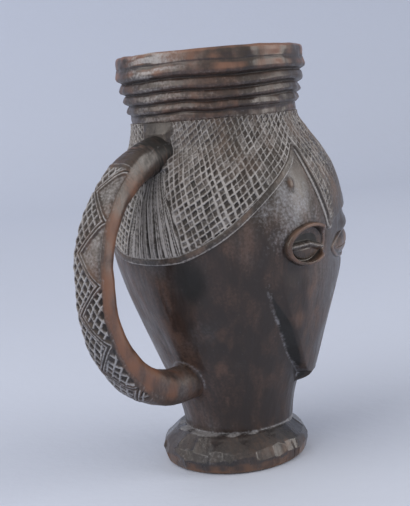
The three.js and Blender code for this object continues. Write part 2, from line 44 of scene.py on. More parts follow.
FOOT_OUTLINE = [(0, 33.4), (0.5, 34.6), (1.6, 35.7), (3.6, 36.6), (5.6, 36.9), (7.4, 36.9), (9.2, 36.2),
                (10.8, 34.9), (12.6, 33.0), (14.6, 30.3), (16.2, 28.2), (16.6, 26.0)]
# Rows of cuts: level, number, reach from the axis, lean and seed.
CUT_ROWS = ((7.3, 26, 36.3, -0.36, 4), (3.0, 17, 36.0, 0.22, 5), (12.0, 15, 33.6, -1.12, 6))
FOOT_ARC = 0.64  # millimetres along the foot for one degree
CRACK_ANGLES = (-83, -88)
CRACK_LOW, CRACK_HIGH = 1.5, 10.5
BLOOM_GREY = (0.095, 0.092, 0.098)
# The near-black of painted shade in hollows, grooves and cracks; in a few places it only darkens the tone.
SHADE_AND_DARK_BLACK = (0.006, 0.005, 0.005)
MIX_FIRST, MIX_SECOND, MIX_RESULT = 6, 7, 2  # the colour sockets of Blender's node that mixes values


def mix(a, b, share):
    """A value part of the way from a to b."""
    return a + (b - a) * share


def ease(x):
    """0 below 0 and 1 above 1, with a soft start and end between them."""
    x = np.clip(x, 0, 1)
    return x * x * (3 - 2 * x)


def curve(pairs):
    """A smooth function through (place, value) pairs: cubics whose slope is the harmonic mean of both sides,
    and 0 at a peak, so that it never overshoots."""
    x, y = np.array(sorted(pairs), float).T
    rise = np.diff(y) / np.diff(x)
    same_way = rise[1:] * rise[:-1] > 0
    slope = np.zeros(len(x))
    both = np.where(same_way, rise[1:] + rise[:-1], 1)
    slope[1:-1] = np.where(same_way, 2 * rise[1:] * rise[:-1] / both, 0)
    slope[0], slope[-1] = rise[0], rise[-1]

    def at(place):
        place = np.clip(place, x[0], x[-1])
        i = np.clip(np.searchsorted(x, place) - 1, 0, len(x) - 2)
        width = x[i + 1] - x[i]
        t = (place - x[i]) / width
        return ((1 + 2 * t) * (1 - t) ** 2 * y[i] + t * (1 - t) ** 2 * width * slope[i]
                + t * t * (3 - 2 * t) * y[i + 1] + t * t * (t - 1) * width * slope[i + 1])

    return at


def rough(u, v, cells_round, cells_up, seed):
    """Soft random unevenness from -1 to 1: a table of random numbers joined by eased steps. u and v count
    turns of the table, which repeats in both."""
    table = np.random.default_rng(seed).uniform(-1, 1, (cells_up, cells_round))
    x, y = u * cells_round, v * cells_up
    i, j = np.floor(x).astype(int), np.floor(y).astype(int)
    s, t = ease(x - i), ease(y - j)
    i0, i1, j0, j1 = i % cells_round, (i + 1) % cells_round, j % cells_up, (j + 1) % cells_up
    return mix(mix(table[j0, i0], table[j0, i1], s), mix(table[j1, i0], table[j1, i1], s), t)


def wrapped(angle):
    """The same direction between -180 and 180 degrees."""
    return (angle + 180) % 360 - 180


def round_axis(angle, radius, z):
    """Points at an angle in degrees from the middle of the face, a distance from the axis, and a height."""
    turn = np.radians(angle)
    return np.stack(np.broadcast_arrays(radius * np.sin(turn), -radius * np.cos(turn), z), axis=-1)


def fill(tree, node, inputs):
    """Each named socket of a node gets a fixed value or another node's output."""
    for socket, value in inputs.items():
        if isinstance(value, bpy.types.NodeSocket):
            tree.links.new(value, node.inputs[socket])
        else:
            node.inputs[socket].default_value = value


def add_node(tree, kind, inputs, **settings):
    """The outputs of a new node with these inputs and settings."""
    node = tree.nodes.new(kind)
    for setting, value in settings.items():
        setattr(node, setting, value)
    fill(tree, node, inputs)
    return node.outputs


def blended(tree, first, second, share):
    """A colour part of the way from the first to the second, each a fixed colour or a node's output."""
    first, second = ((*colour, 1) if isinstance(colour, tuple) else colour for colour in (first, second))
    return add_node(tree, "ShaderNodeMix", {"Factor": share, MIX_FIRST: first, MIX_SECOND: second},
                    data_type="RGBA")[MIX_RESULT]


def put_in_scene(name, data):
    """A new object made of a mesh, a lamp or a camera."""
    added = bpy.data.objects.new(name, data)
    bpy.context.scene.collection.objects.link(added)
    return added


def carve(name, rings, material, slot, replaces=(), endless=False, **marks):
    """A closed mesh through rings of points (ring, point, xyz). Each ring closes on itself. The two ends
    are closed with a fan, or the last ring runs into the first. marks are values per point that the
    material reads."""
    count, sides = rings.shape[:2]
    points = rings.reshape(-1, 3)
    low = np.arange(count if endless else count - 1)[:, None] * sides
    high = (low + sides) % (count * sides)
    here = np.arange(sides)[None]
    after = (here + 1) % sides
    quads = np.stack([low + here, low + after, high + after, high + here], -1).reshape(-1, 4)
    corners = quads.ravel()
    totals = np.full(len(quads), 4)
    if not endless:
        points = np.vstack([points, rings[0].mean(0), rings[-1].mean(0)])
        first_middle, last_middle = count * sides, count * sides + 1
        last_ring = (count - 1) * sides
        here, after = here[0], after[0]
        fans = np.vstack([np.stack([after, here, np.full(sides, first_middle)], -1),
                          np.stack([last_ring + here, last_ring + after, np.full(sides, last_middle)], -1)])
        corners = np.concatenate([corners, fans.ravel()])
        totals = np.concatenate([totals, np.full(len(fans), 3)])
    p = points[quads]
    across = p[:, 2] - p[:, 0]
    swept = np.cross(p[:, 1] - p[:, 0], across) + np.cross(across, p[:, 3] - p[:, 0])
    if (swept * (p[:, 0] - points.mean(0))).sum() < 0:
        firsts = np.concatenate([[0], np.cumsum(totals)[:-1]])
        places = np.repeat(firsts, totals) + np.repeat(totals, totals) - 1
        corners = corners[places - (np.arange(len(corners)) - np.repeat(firsts, totals))]
    mesh = bpy.data.meshes.new(name)
    mesh.vertices.add(len(points))
    mesh.vertices.foreach_set("co", ((points - [0, FOOT_SET_BACK, 0]) * MM).ravel())
    mesh.loops.add(len(corners))
    mesh.loops.foreach_set("vertex_index", corners)
    mesh.polygons.add(len(totals))
    mesh.polygons.foreach_set("loop_start", np.concatenate([[0], np.cumsum(totals)[:-1]]))
    mesh.update(calc_edges=True)
    mesh.validate()
    mesh.shade_smooth()
    for mark, values in marks.items():
        flat = np.broadcast_to(values, (count, sides)).ravel()
        flat = np.concatenate([flat, np.zeros(len(points) - len(flat))]).astype(np.float32)
        mesh.attributes.new(mark, "FLOAT", "POINT").data.foreach_set("value", flat)
    mesh.materials.append(material)
    piece = put_in_scene(name, mesh)
    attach(piece, "root")
    if replaces:
        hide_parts(*replaces)


def wood(name, dark, warm, rubbed, dust=(0.34, 0.33, 0.335), bloom=0.5, shine=0.34):
    """Oiled hardwood: a dark and a warmer brown in soft patches broken by grain along the height, a thin
    grey bloom in places, a rubbed brown where the mark 'wear' is high, pale dust and painted highlights where
    the dust and highlight mark is high, and near-black where the shade mark is high: painted shade in hollows
    and grooves, and a darker tone in a few other places."""
    material = bpy.data.materials.new(name)
    material.use_nodes = True
    tree = material.node_tree
    place = add_node(tree, "ShaderNodeTexCoord", {})["Object"]

    def cloud(scale, detail, stretch=(1, 1, 1)):
        sized = add_node(tree, "ShaderNodeMapping", {"Scale": stretch, "Vector": place})["Vector"]
        inputs = {"Scale": scale, "Detail": detail, "Vector": sized}
        return add_node(tree, "ShaderNodeTexNoise", inputs)["Fac"]

    def between(value, low, high, to_low=0.0, to_high=1.0):
        limits = {"Value": value, "From Min": low, "From Max": high, "To Min": to_low, "To Max": to_high}
        return add_node(tree, "ShaderNodeMapRange", limits, interpolation_type="SMOOTHSTEP")["Result"]

    def plus(first, second):
        return add_node(tree, "ShaderNodeMath", {0: first, 1: second}, operation="ADD")[0]

    def times(first, second):
        return add_node(tree, "ShaderNodeMath", {0: first, 1: second}, operation="MULTIPLY")[0]

    def broken_up(attribute, noise, amount, low, high):
        mark = add_node(tree, "ShaderNodeAttribute", {}, attribute_name=attribute)["Fac"]
        return between(plus(mark, times(noise, amount)), low, high)

    patches = cloud(24, 6, (1, 1, 0.5))
    mottle = cloud(110, 5, (1, 1, 0.6))
    grain = cloud(420, 6, (1, 1, 0.07))
    speckle = cloud(800, 5)
    warmth = plus(between(patches, 0.42, 0.62), times(between(mottle, 0.44, 0.66), 0.6))
    fleck = times(between(grain, 0.34, 0.66, 0.35, 1.0), between(speckle, 0.36, 0.6, 0.5, 1.15))
    colour = blended(tree, dark, warm, times(warmth, fleck))
    hazy = times(between(cloud(38, 8, (1, 1, 0.7)), 0.5, 0.72), between(speckle, 0.42, 0.62, 0.4, 1.0))
    colour = blended(tree, colour, BLOOM_GREY, times(hazy, bloom))
    colour = blended(tree, colour, rubbed, broken_up("wear", mottle, 1.2, 0.75, 1.35))
    # The next mark lays pale dust and painted highlights, the one after it near-black painted shade and, in a
    # few places, a darker tone.
    dusty = broken_up("dust", speckle, 0.9, 0.55, 1.35)
    sooty = broken_up("soot", mottle, 0.8, 0.5, 1.2)
    colour = blended(tree, blended(tree, colour, SHADE_AND_DARK_BLACK, sooty), dust, dusty)
    gloss = plus(between(mottle, 0.35, 0.65, shine - 0.05, shine + 0.12), times(dusty, 0.4))
    gloss = plus(gloss, times(sooty, 0.28))
    relief = plus(grain, times(mottle, 1.2))
    bump = add_node(tree, "ShaderNodeBump", {"Strength": 0.4, "Distance": 0.0005, "Height": relief})["Normal"]
    fill(tree, tree.nodes["Principled BSDF"], {"Base Color": colour, "Roughness": gloss, "Normal": bump,
                                               "Coat Weight": 0.08, "Coat Roughness": 0.2})
    return material


foot_wood = wood("foot_wood", dark=(0.024, 0.022, 0.024), warm=(0.052, 0.037, 0.033),
                 rubbed=(0.125, 0.068, 0.042), dust=(0.31, 0.31, 0.33), shine=0.27)

outline = curve(FOOT_OUTLINE)
foot_angle = np.linspace(-180, 180, 600, endpoint=False)[None]
foot_z = np.concatenate([np.linspace(0, 2, 8, endpoint=False), np.linspace(2, 16.6, 90)])[:, None]
foot_turn = foot_angle / 360
foot_place = foot_turn, foot_z / 40
foot_radius = outline(foot_z) + 0.0 * foot_angle
for level, cuts, reach, lean, seed in CUT_ROWS:
    # Each cut is a flat: further out at its two ends than in its middle, and tipped a little at random.
    place = foot_turn * cuts + 0.35 * rough(foot_turn, 0, cuts // 2, 1, seed) + 0.2 * seed
    number = np.floor(place).astype(int) % cuts
    off_middle = place % 1 - 0.5
    deeper, turned, tipped = np.random.default_rng(seed + 40).uniform(-1, 1, (3, cuts))[:, number]
    flat = reach * np.cos(np.pi / cuts) / np.cos(2 * np.pi / cuts * off_middle)
    flat = flat + 0.25 * deeper + 0.8 * turned * off_middle
    flat = flat + (lean + 0.12 * tipped) * (foot_z - level) + 0.1 * rough(*foot_place, 60, 6, seed)
    if level == CUT_ROWS[0][0]:
        facets = ease((foot_radius - flat) / 0.15)
    foot_radius = np.minimum(foot_radius, flat)
crack_wander = 0.5 * rough(foot_z / 20, 0, 7, 1, 9)
crack = sum(0.9 * ease(1 - np.abs((foot_angle - where) * FOOT_ARC + crack_wander) / 0.35)
            * ease((foot_z - CRACK_LOW) / 2) * ease((CRACK_HIGH - foot_z) / 2.5) for where in CRACK_ANGLES)
foot_radius = foot_radius - crack + 0.12 * rough(foot_turn, foot_z / 60, 9, 4, 4)
foot_rings = round_axis(foot_angle, foot_radius, foot_z) + [0, FOOT_SET_BACK, 0]
foot_rings[-1] = round_axis(foot_angle[0], UNDER_NECK, FOOT_HEIGHT)

# The foot's marks: brown below a wavering line and near the cracks, dust in the neck crease and in the
# cracks, painted shade in the cracks, and a painted highlight on the cuts, strongest on those that face the
# left lamp.
worn_up_to = 6.6 + 1.1 * rough(foot_turn, 0, 17, 1, 7) + 0.6 * rough(foot_turn, 0, 60, 1, 8)
below = ease((worn_up_to - foot_z) / 2.2)
# The cuts catch a painted highlight, strongest on those that face the left lamp.
facet_sheen = facets * (0.65 + 0.5 * rough(*foot_place, 41, 3, 10))
toward_left_lamp = ease(1 - np.abs(wrapped(foot_angle + 168)) / 60)
toward_crack = ease(1 - np.abs(foot_angle + 92) / 32)
rubbed = 0.75 + 0.4 * rough(*foot_place, 55, 12, 18)
foot_wear = (0.5 * below + 0.3 * toward_crack * facets) * rubbed
foot_wear = foot_wear + 0.2 * ease((2.5 - foot_z) / 2) + 0.1 * ease((11 - foot_z) / 2)
neck_line = 16.05 + 0.35 * rough(foot_turn, 0, 33, 1, 15)
foot_dust = 0.55 * ease((foot_z - neck_line) / 0.4)
foot_dust = foot_dust + (0.08 + 0.13 * toward_left_lamp) * facet_sheen * (1 - below) + 0.3 * crack
# Painted shade darkens the cracks.
carve("foot_ring", foot_rings, foot_wood, "worn_wood", ["foot"],
      wear=foot_wear, dust=foot_dust, soot=0.9 * crack)

# Stem, head and face: the skin of the block from the foot to the rim, and the bowl hollowed in it. The jaw
# stands proud of the stem with a dusty crease behind it, and the face is shut-eyed and calm.
HEAD_BASE, HEAD_TOP = 31.0, 167.5
NECK_TOP_RADIUS, THROAT_RADIUS = 29.8, 39.4
HALF_WIDTH, BACK, FRONT = 55.8, 54.7, 66.2
CHIN, FACE_TOP, CHIN_SLOPE, CHIN_TUCK = 41.0, 99.9, 5.5, 10.0
FACE_FADE, BROW_INSET = 11.0, 2.5
JAW_SIDE, JAW_FRONT, CHEEK_SIDE, FACE_RADIUS = 39.6, 42.8, 54.2, 60.0
NOSE_LOW, NOSE_HIGH, WINGS_LEVEL = 66.5, 106.0, 71.5
LIP_LEVEL, LIP_LONG, BROW_LEVEL = 56.4, 16.5, 113.5
ROOT_LEVEL, ROOT_LONG, ROOT_HIGH = 44.5, 8.4, 9.2
STEM = [(13, 27.6), (16.5, 27.2), (21, 27.6), (26, 28.5)]
AT_EDGE, AT_CREASE = 0.49, 0.56  # shares of one side's points up to the jaw's edge and crease
BORE = 33.5
BOWL = [(55, 0), (55.4, 6), (58.4, 13.8), (66.2, 24.3), (79.8, 35.1), (97.7, 42.8), (113.5, 45),
        (120.2, 44.8), (137.1, 41.8), (152.9, 36.4), (167.5, BORE)]
HAIRLINE = [(0, 124), (30, 122.5), (60, 119.5), (72, 116.6), (78, 112.4), (79.5, 115.6), (84.5, 128.4),
            (89, 141), (91, 150.8), (98, 144.8), (107, 138.2), (115, 132.5), (123, 126.5), (132, 119.8),
            (141.5, 113.8), (151, 109.2), (161, 105.8), (172, 104.6), (180, 104.4)]
EAR_ANGLE, EAR_LEVEL, EAR_LONG, EAR_HIGH = 95.0, 108.0, 15.2, 10.4


def head_side(shape, widest):
    """Radius against height. shape holds shares of the head's height and of the swell from the neck's
    radius up to the widest place, and from the throat's radius above it."""
    share, swell = np.array(shape).T
    ends = np.where(np.arange(len(share)) < swell.argmax(), NECK_TOP_RADIUS, THROAT_RADIUS)
    head = zip(mix(HEAD_BASE, HEAD_TOP, share), mix(ends, widest, swell))
    return curve([*STEM, *head, (169, THROAT_RADIUS)])


side_of = head_side([(0, 0), (.15, .29), (.29, .565), (.43, .815), (.55, .965), (.637, 1), (.725, .928),
                     (.8, .77), (.872, .5), (.945, .15), (1, 0)], HALF_WIDTH)
back_of = head_side([(0, 0), (.15, .3), (.29, .585), (.43, .845), (.51, .94), (.6, 1), (.725, .87),
                     (.8, .63), (.872, .27), (.93, .01), (1, 0)], BACK)
front_of = head_side([(0, 0), (.15, .25), (.29, .52), (.36, .69), (.43, .9), (.505, .99), (.557, 1),
                      (.65, .97), (.725, .89), (.8, .77), (.872, .54), (.945, .24), (1, 0)], FRONT)
face_swell = curve([(0, 0), (.15, .17), (.32, .36), (.49, .545), (.68, .745), (.83, .89), (1, 1)])
jaw_edge = curve([(0, 71), (.04, 79), (.23, 90), (.42, 98), (.68, 107), (.8, 110), (1.1, 113)])
jaw_crease = curve([(0, 76), (.19, 95), (.32, 102.5), (.48, 109.5), (.68, 115), (.86, 119), (1.1, 123)])
hairline = curve(HAIRLINE)


def face_share(z):
    """0 at the widest line of the jaw and 1 at the top of the face."""
    return (z - CHIN) / (FACE_TOP - CHIN)


def oval(angle, side, front, back):
    """Radius of an oval section whose depth differs before and behind the ears."""
    turn = np.radians(angle)
    depth = np.where(np.cos(turn) > 0, front, back)
    return 1 / np.hypot(np.sin(turn) / side, np.cos(turn) / depth)


def skull(angle, z):
    """Radius of the plain head: an oval at each height."""
    return oval(angle, side_of(z), front_of(z), back_of(z))


def masked(angle, z):
    """The skull and the face mask eased together, the mask wider from jaw to cheek and tucked in under
    the chin."""
    swell = face_swell(face_share(z))
    side = mix(JAW_SIDE, CHEEK_SIDE, swell)
    under = np.maximum(0, (CHIN - z) / CHIN_SLOPE)
    over = np.maximum(0, (z - FACE_TOP) / FACE_FADE + 1)
    mask = oval(angle, side, mix(JAW_FRONT, FRONT, swell), side)
    mask = mask - CHIN_TUCK * under ** 2 - BROW_INSET * over ** 2
    head = skull(angle, z)
    share = np.clip(0.5 + (mask - head) / 3.0, 0, 1)
    return mix(head, mask, share) + 1.5 * share * (1 - share)


def head_surface(angle, z):
    """The mask as far as the jaw's edge, a short wall back to the crease, and the skull behind it."""
    turn = np.abs(wrapped(angle))
    edge = jaw_edge(face_share(z))
    crease = jaw_crease(face_share(z))
    share = np.clip((turn - edge) / (crease - edge), 0, 1)
    wall = mix(masked(edge, z), skull(crease, z), share ** 0.85)
    return np.where(turn <= edge, masked(turn, z), np.where(turn < crease, wall, skull(turn, z)))


ARC = np.radians(54.0)  # millimetres along the head for one degree


def distance_to_hairline(angle, z):
    """Shortest distance on the surface to the hairline, taken as a chain of straight stretches."""
    line = np.array(HAIRLINE) * [ARC, 1]
    px, pz = angle * ARC, z
    nearest = np.full(np.broadcast(px, pz).shape, 1e9)
    for (x0, z0), (x1, z1) in zip(line[:-1], line[1:]):
        dx, dz = x1 - x0, z1 - z0
        along = np.clip(((px - x0) * dx + (pz - z0) * dz) / (dx ** 2 + dz ** 2), 0, 1)
        nearest = np.minimum(nearest, np.hypot(px - x0 - along * dx, pz - z0 - along * dz))
    return nearest


def bump_at(angle, z, where, level, long, high, power=2):
    """A soft mound: 1 in its middle, 0 outside an oval of the given half length and half height."""
    across = (angle - where) * ARC
    return np.clip(1 - (across / long) ** 2 - ((z - level) / high) ** 2, 0, 1) ** power


half = np.linspace(0, 1, 221)
skin_z = np.concatenate([np.linspace(13.5, 34.4, 20), np.linspace(35.2, 42.2, 13), np.linspace(43, 104, 92),
                         np.linspace(105, 120, 17), np.linspace(122, 168.4, 22)])[:, None]
edge_angle = jaw_edge(face_share(skin_z))
crease_angle = jaw_crease(face_share(skin_z))
turns = edge_angle * (half / AT_EDGE) ** 1.15
wall_turns = mix(edge_angle, crease_angle, (half - AT_EDGE) / (AT_CREASE - AT_EDGE))
turns = np.where(half > AT_EDGE, wall_turns, turns)
back_turns = mix(crease_angle, 180, (half - AT_CREASE) / (1 - AT_CREASE))
turns = np.where(half > AT_CREASE, back_turns, turns)
skin_angle = np.concatenate([-turns[:, :0:-1], turns[:, :-1]], axis=1)
skin_place = skin_angle / 360, skin_z / 190
side_angle = np.abs(skin_angle)

# The relief on the skin: nose, lips, brows and sockets, the knob and its hole on the temple, a keel down the
# nape, the swell round the handle's lower root, and beds for the ears and the hair.
across = np.radians(side_angle) * FACE_RADIUS
up_nose = np.clip((skin_z - NOSE_LOW) / (NOSE_HIGH - NOSE_LOW), -1, 1)
nose_half = mix(12.2, 5.2, ease(up_nose * 1.3))
nose_rise = mix(9.2, 2.6, ease(up_nose * 1.1)) * ease((up_nose + 0.06) / 0.12) * ease((1.0 - up_nose) / 0.35)
nose = nose_rise * (1 - ease(across / nose_half)) ** 0.8
wings = 4.2 * np.clip(1 - ((across - 8.4) / 5.2) ** 2 - ((skin_z - WINGS_LEVEL) / 5.2) ** 2, 0, 1) ** 0.7
lip_line = LIP_LEVEL + 0.0035 * across ** 2 - 0.35 * np.exp(-(across / 3) ** 2)
lip_high = 5.6 * np.sqrt(np.clip(1 - (across / LIP_LONG) ** 2, 0, 1)) + 1e-6
off_lip = (np.abs(skin_z - lip_line) - lip_high * 0.5) / (lip_high * 0.62)
lips = 3.1 * np.clip(1 - off_lip ** 2, 0, 1) ** 0.6
lips *= ease((17 - across) / 3)
brow = 2.0 * np.exp(-((skin_z - BROW_LEVEL + 0.05 * across) / 3.2) ** 2)
brow = brow * ease((side_angle - 5) / 8) * ease((66 - side_angle) / 12)
socket = -1.3 * bump_at(side_angle, skin_z, 46, 103, 27, 10.5, 1)
knob = bump_at(skin_angle, skin_z, -102.5, 136.4, 2.5, 3.2, 1)
knob_hole = bump_at(skin_angle, skin_z, -101.6, 132.2, 1.5, 1.3, 1)
keel = 0.9 * np.exp(-((180 - side_angle) / 6) ** 2) - 0.8 * np.exp(-((158 - side_angle) / 13) ** 2)
keel *= ease((104 - skin_z) / 12) * ease((skin_z - 52) / 14)
root_gap = np.hypot((180 - side_angle) * np.radians(36) / ROOT_LONG, (skin_z - ROOT_LEVEL) / ROOT_HIGH)
root_swell = 2.0 * np.clip(1 - (root_gap - 0.8) / 0.6, 0, 1) ** 2
ear_bed = -2.6 * bump_at(side_angle, skin_z, EAR_ANGLE, EAR_LEVEL, EAR_LONG - 1, EAR_HIGH - 1, 0.7)
under_hair = -1.5 * ease((distance_to_hairline(side_angle, skin_z) - 2.4) / 2.0)
under_hair *= (skin_z > hairline(side_angle))
tool_marks = 0.35 * rough(*skin_place, 9, 5, 11) + 0.16 * rough(*skin_place, 46, 9, 12)
tool_marks += 0.05 * rough(*skin_place, 150, 24, 13)
skin_radius = (head_surface(skin_angle, skin_z) + np.maximum(nose, wings) + lips + brow + socket
               + 1.2 * knob - knob_hole + keel + root_swell + ear_bed + under_hair
               + tool_marks * ease((skin_z - 15) / 3))
outer_rings = round_axis(skin_angle, skin_radius, skin_z)
bowl_of = curve(BOWL)
bowl_z = np.concatenate([np.linspace(168.4, 66, 22), 55 + 11 * np.linspace(0.9, 0.03, 9) ** 1.5])[:, None]
gouged = 0.35 * rough(skin_angle[:1] / 360, bowl_z / 112, 22, 9, 21)
inner_rings = round_axis(skin_angle[-1:], bowl_of(bowl_z) + gouged, bowl_z)
skin_rings = np.concatenate([outer_rings, inner_rings])
walls = 0 * bowl_z + 0 * skin_angle[:1]

# Marks on the skin: dust in the crease behind the jaw and on the stem's lowest edge, grey bloom with a
# painted highlight on the temple, wear on what stands out, and painted shade on the wall of the jaw, in the
# knob's hole, under the fan and round the handle's root.
off_crease = (side_angle - crease_angle) * np.radians(48)
up_jaw = ease((101 - skin_z) / 20) * ease((skin_z - 37) / 3)
crease_wander = 0.5 * rough(skin_z / 190, 0, 41, 1, 16)
in_crease = ease(1 - np.abs(off_crease + crease_wander) / 1.9) * up_jaw
in_crease *= (0.75 + 0.5 * rough(skin_z / 190, side_angle / 360, 70, 60, 17))
off_edge = side_angle - edge_angle - 7 * ease((skin_z - 66) / 32)
on_wall = ease(off_edge / 3) * ease((0.6 - off_crease) / 1.6) * up_jaw
by_root = ease(1 - np.abs(root_gap - 1.12) / 0.13) * ease((skin_z - 38) / 5)
# A grey bloom on the temple, partly a painted highlight.
temple_bloom_and_highlight = bump_at(side_angle, skin_z, 103, 128, 26, 20, 0.8)
temple_bloom_and_highlight *= (0.68 + 0.32 * rough(*skin_place, 60, 30, 14))
skin_dust = 0.42 * in_crease + 0.5 * ease((17.5 - skin_z) / 0.8) + 0.4 * by_root
by_ear = bump_at(skin_angle, skin_z, -113, 110, 9, 7, 1)
skin_dust = skin_dust + 0.52 * temple_bloom_and_highlight * (1 - knob) + 0.2 * by_ear
cheek = bump_at(side_angle, skin_z, 90, 74, 13, 26, 1)
nape = bump_at(side_angle, skin_z, 180, 84, 24, 22, 1)
low_patch = bump_at(skin_angle, skin_z, -150, 62, 15, 20, 1)
skin_wear = (0.34 * cheek + 0.18 * nape + 0.28 * low_patch + 0.5 * knob + 0.3 * np.clip(nose / 9, 0, 1)
             + 0.25 * np.clip(lips / 3, 0, 1))
# Painted shade on the jaw's wall, in the knob's hole, under the fan and round the handle's lower root.
skin_soot = on_wall * (1 - 0.8 * in_crease) + 1.1 * knob_hole
under_fan = bump_at(skin_angle, skin_z, -158, 97, 12, 15, 1)
skin_soot = skin_soot + 0.85 * under_fan + 0.45 * ease((1.06 - root_gap) / 0.05)
skin_wood = wood("skin_wood", dark=(0.021, 0.0135, 0.011), warm=(0.074, 0.042, 0.031),
                 rubbed=(0.130, 0.072, 0.048), dust=(0.295, 0.305, 0.340))
# Inside the bowl the wood is a little rubbed and a little darker all over.
carve("head_skin", skin_rings, skin_wood, "dark_wood", ["head", "neck"],
      dust=np.concatenate([skin_dust, walls]), wear=np.concatenate([skin_wear, walls + 0.2]),
      soot=np.concatenate([skin_soot, walls + 0.2]))

# Hair: a cap cut about a millimetre proud of the skin, in one half for each side. A plain band between two
# incised lines follows the hairline, two sets of thin raised lines cross inside it, and a fan of ridges
# spreads over the nape from under the handle. The pits near the hairline are the deepest and carry the most
# painted shade.
HAIR_RISE, BAND_WIDTH, FAN_TOP = 1.25, 3.7, 151.0
LINES = ((30.0, 2.8, 0.0012), (-77.0, 2.6, 0.0020))  # direction of the raised lines, pitch, and bend
# Each side's fan: its half width against height, and the number of ridges in it.
FAN_EDGES = {
    -1: (curve([(104, 21.8), (113.2, 20), (126.2, 16.6), (138.5, 12), (145, 9.2), (150.8, 6.2)]), 13),
    1: (curve([(104, 16), (113.5, 13), (127.5, 8.6), (140, 5.6), (150.8, 4)]), 9)}
hair_turn = np.concatenate([np.linspace(0, 78, 185, endpoint=False), np.linspace(78, 91, 36, endpoint=False),
                            np.linspace(91, 180, 245)])[:, None]
up = np.linspace(0, 1, 172)[None]
hair_z = mix(hairline(hair_turn), 168.3, up)
from_back = (180 - hair_turn) * ARC
hair_place = from_back / 90, hair_z / 90
from_line = distance_to_hairline(hair_turn, hair_z)
in_band = ease((BAND_WIDTH - from_line) / 0.3)
over_root = np.maximum(np.where(hair_z > 155.5, hair_z - 163.5, 2.4 * (148.0 - hair_z)), 0)
root_swell = 2.2 * np.clip(1 - np.hypot(np.maximum(from_back - 8.6, 0), over_root) / 6, 0, 1) ** 2
root_edge = mix(9.0, 12.5, np.clip((hair_z - 158) / 6, 0, 1))
plain_root = ease((root_edge - from_back) / 1.6 + 0.3) * ease((hair_z - 146) / 3)
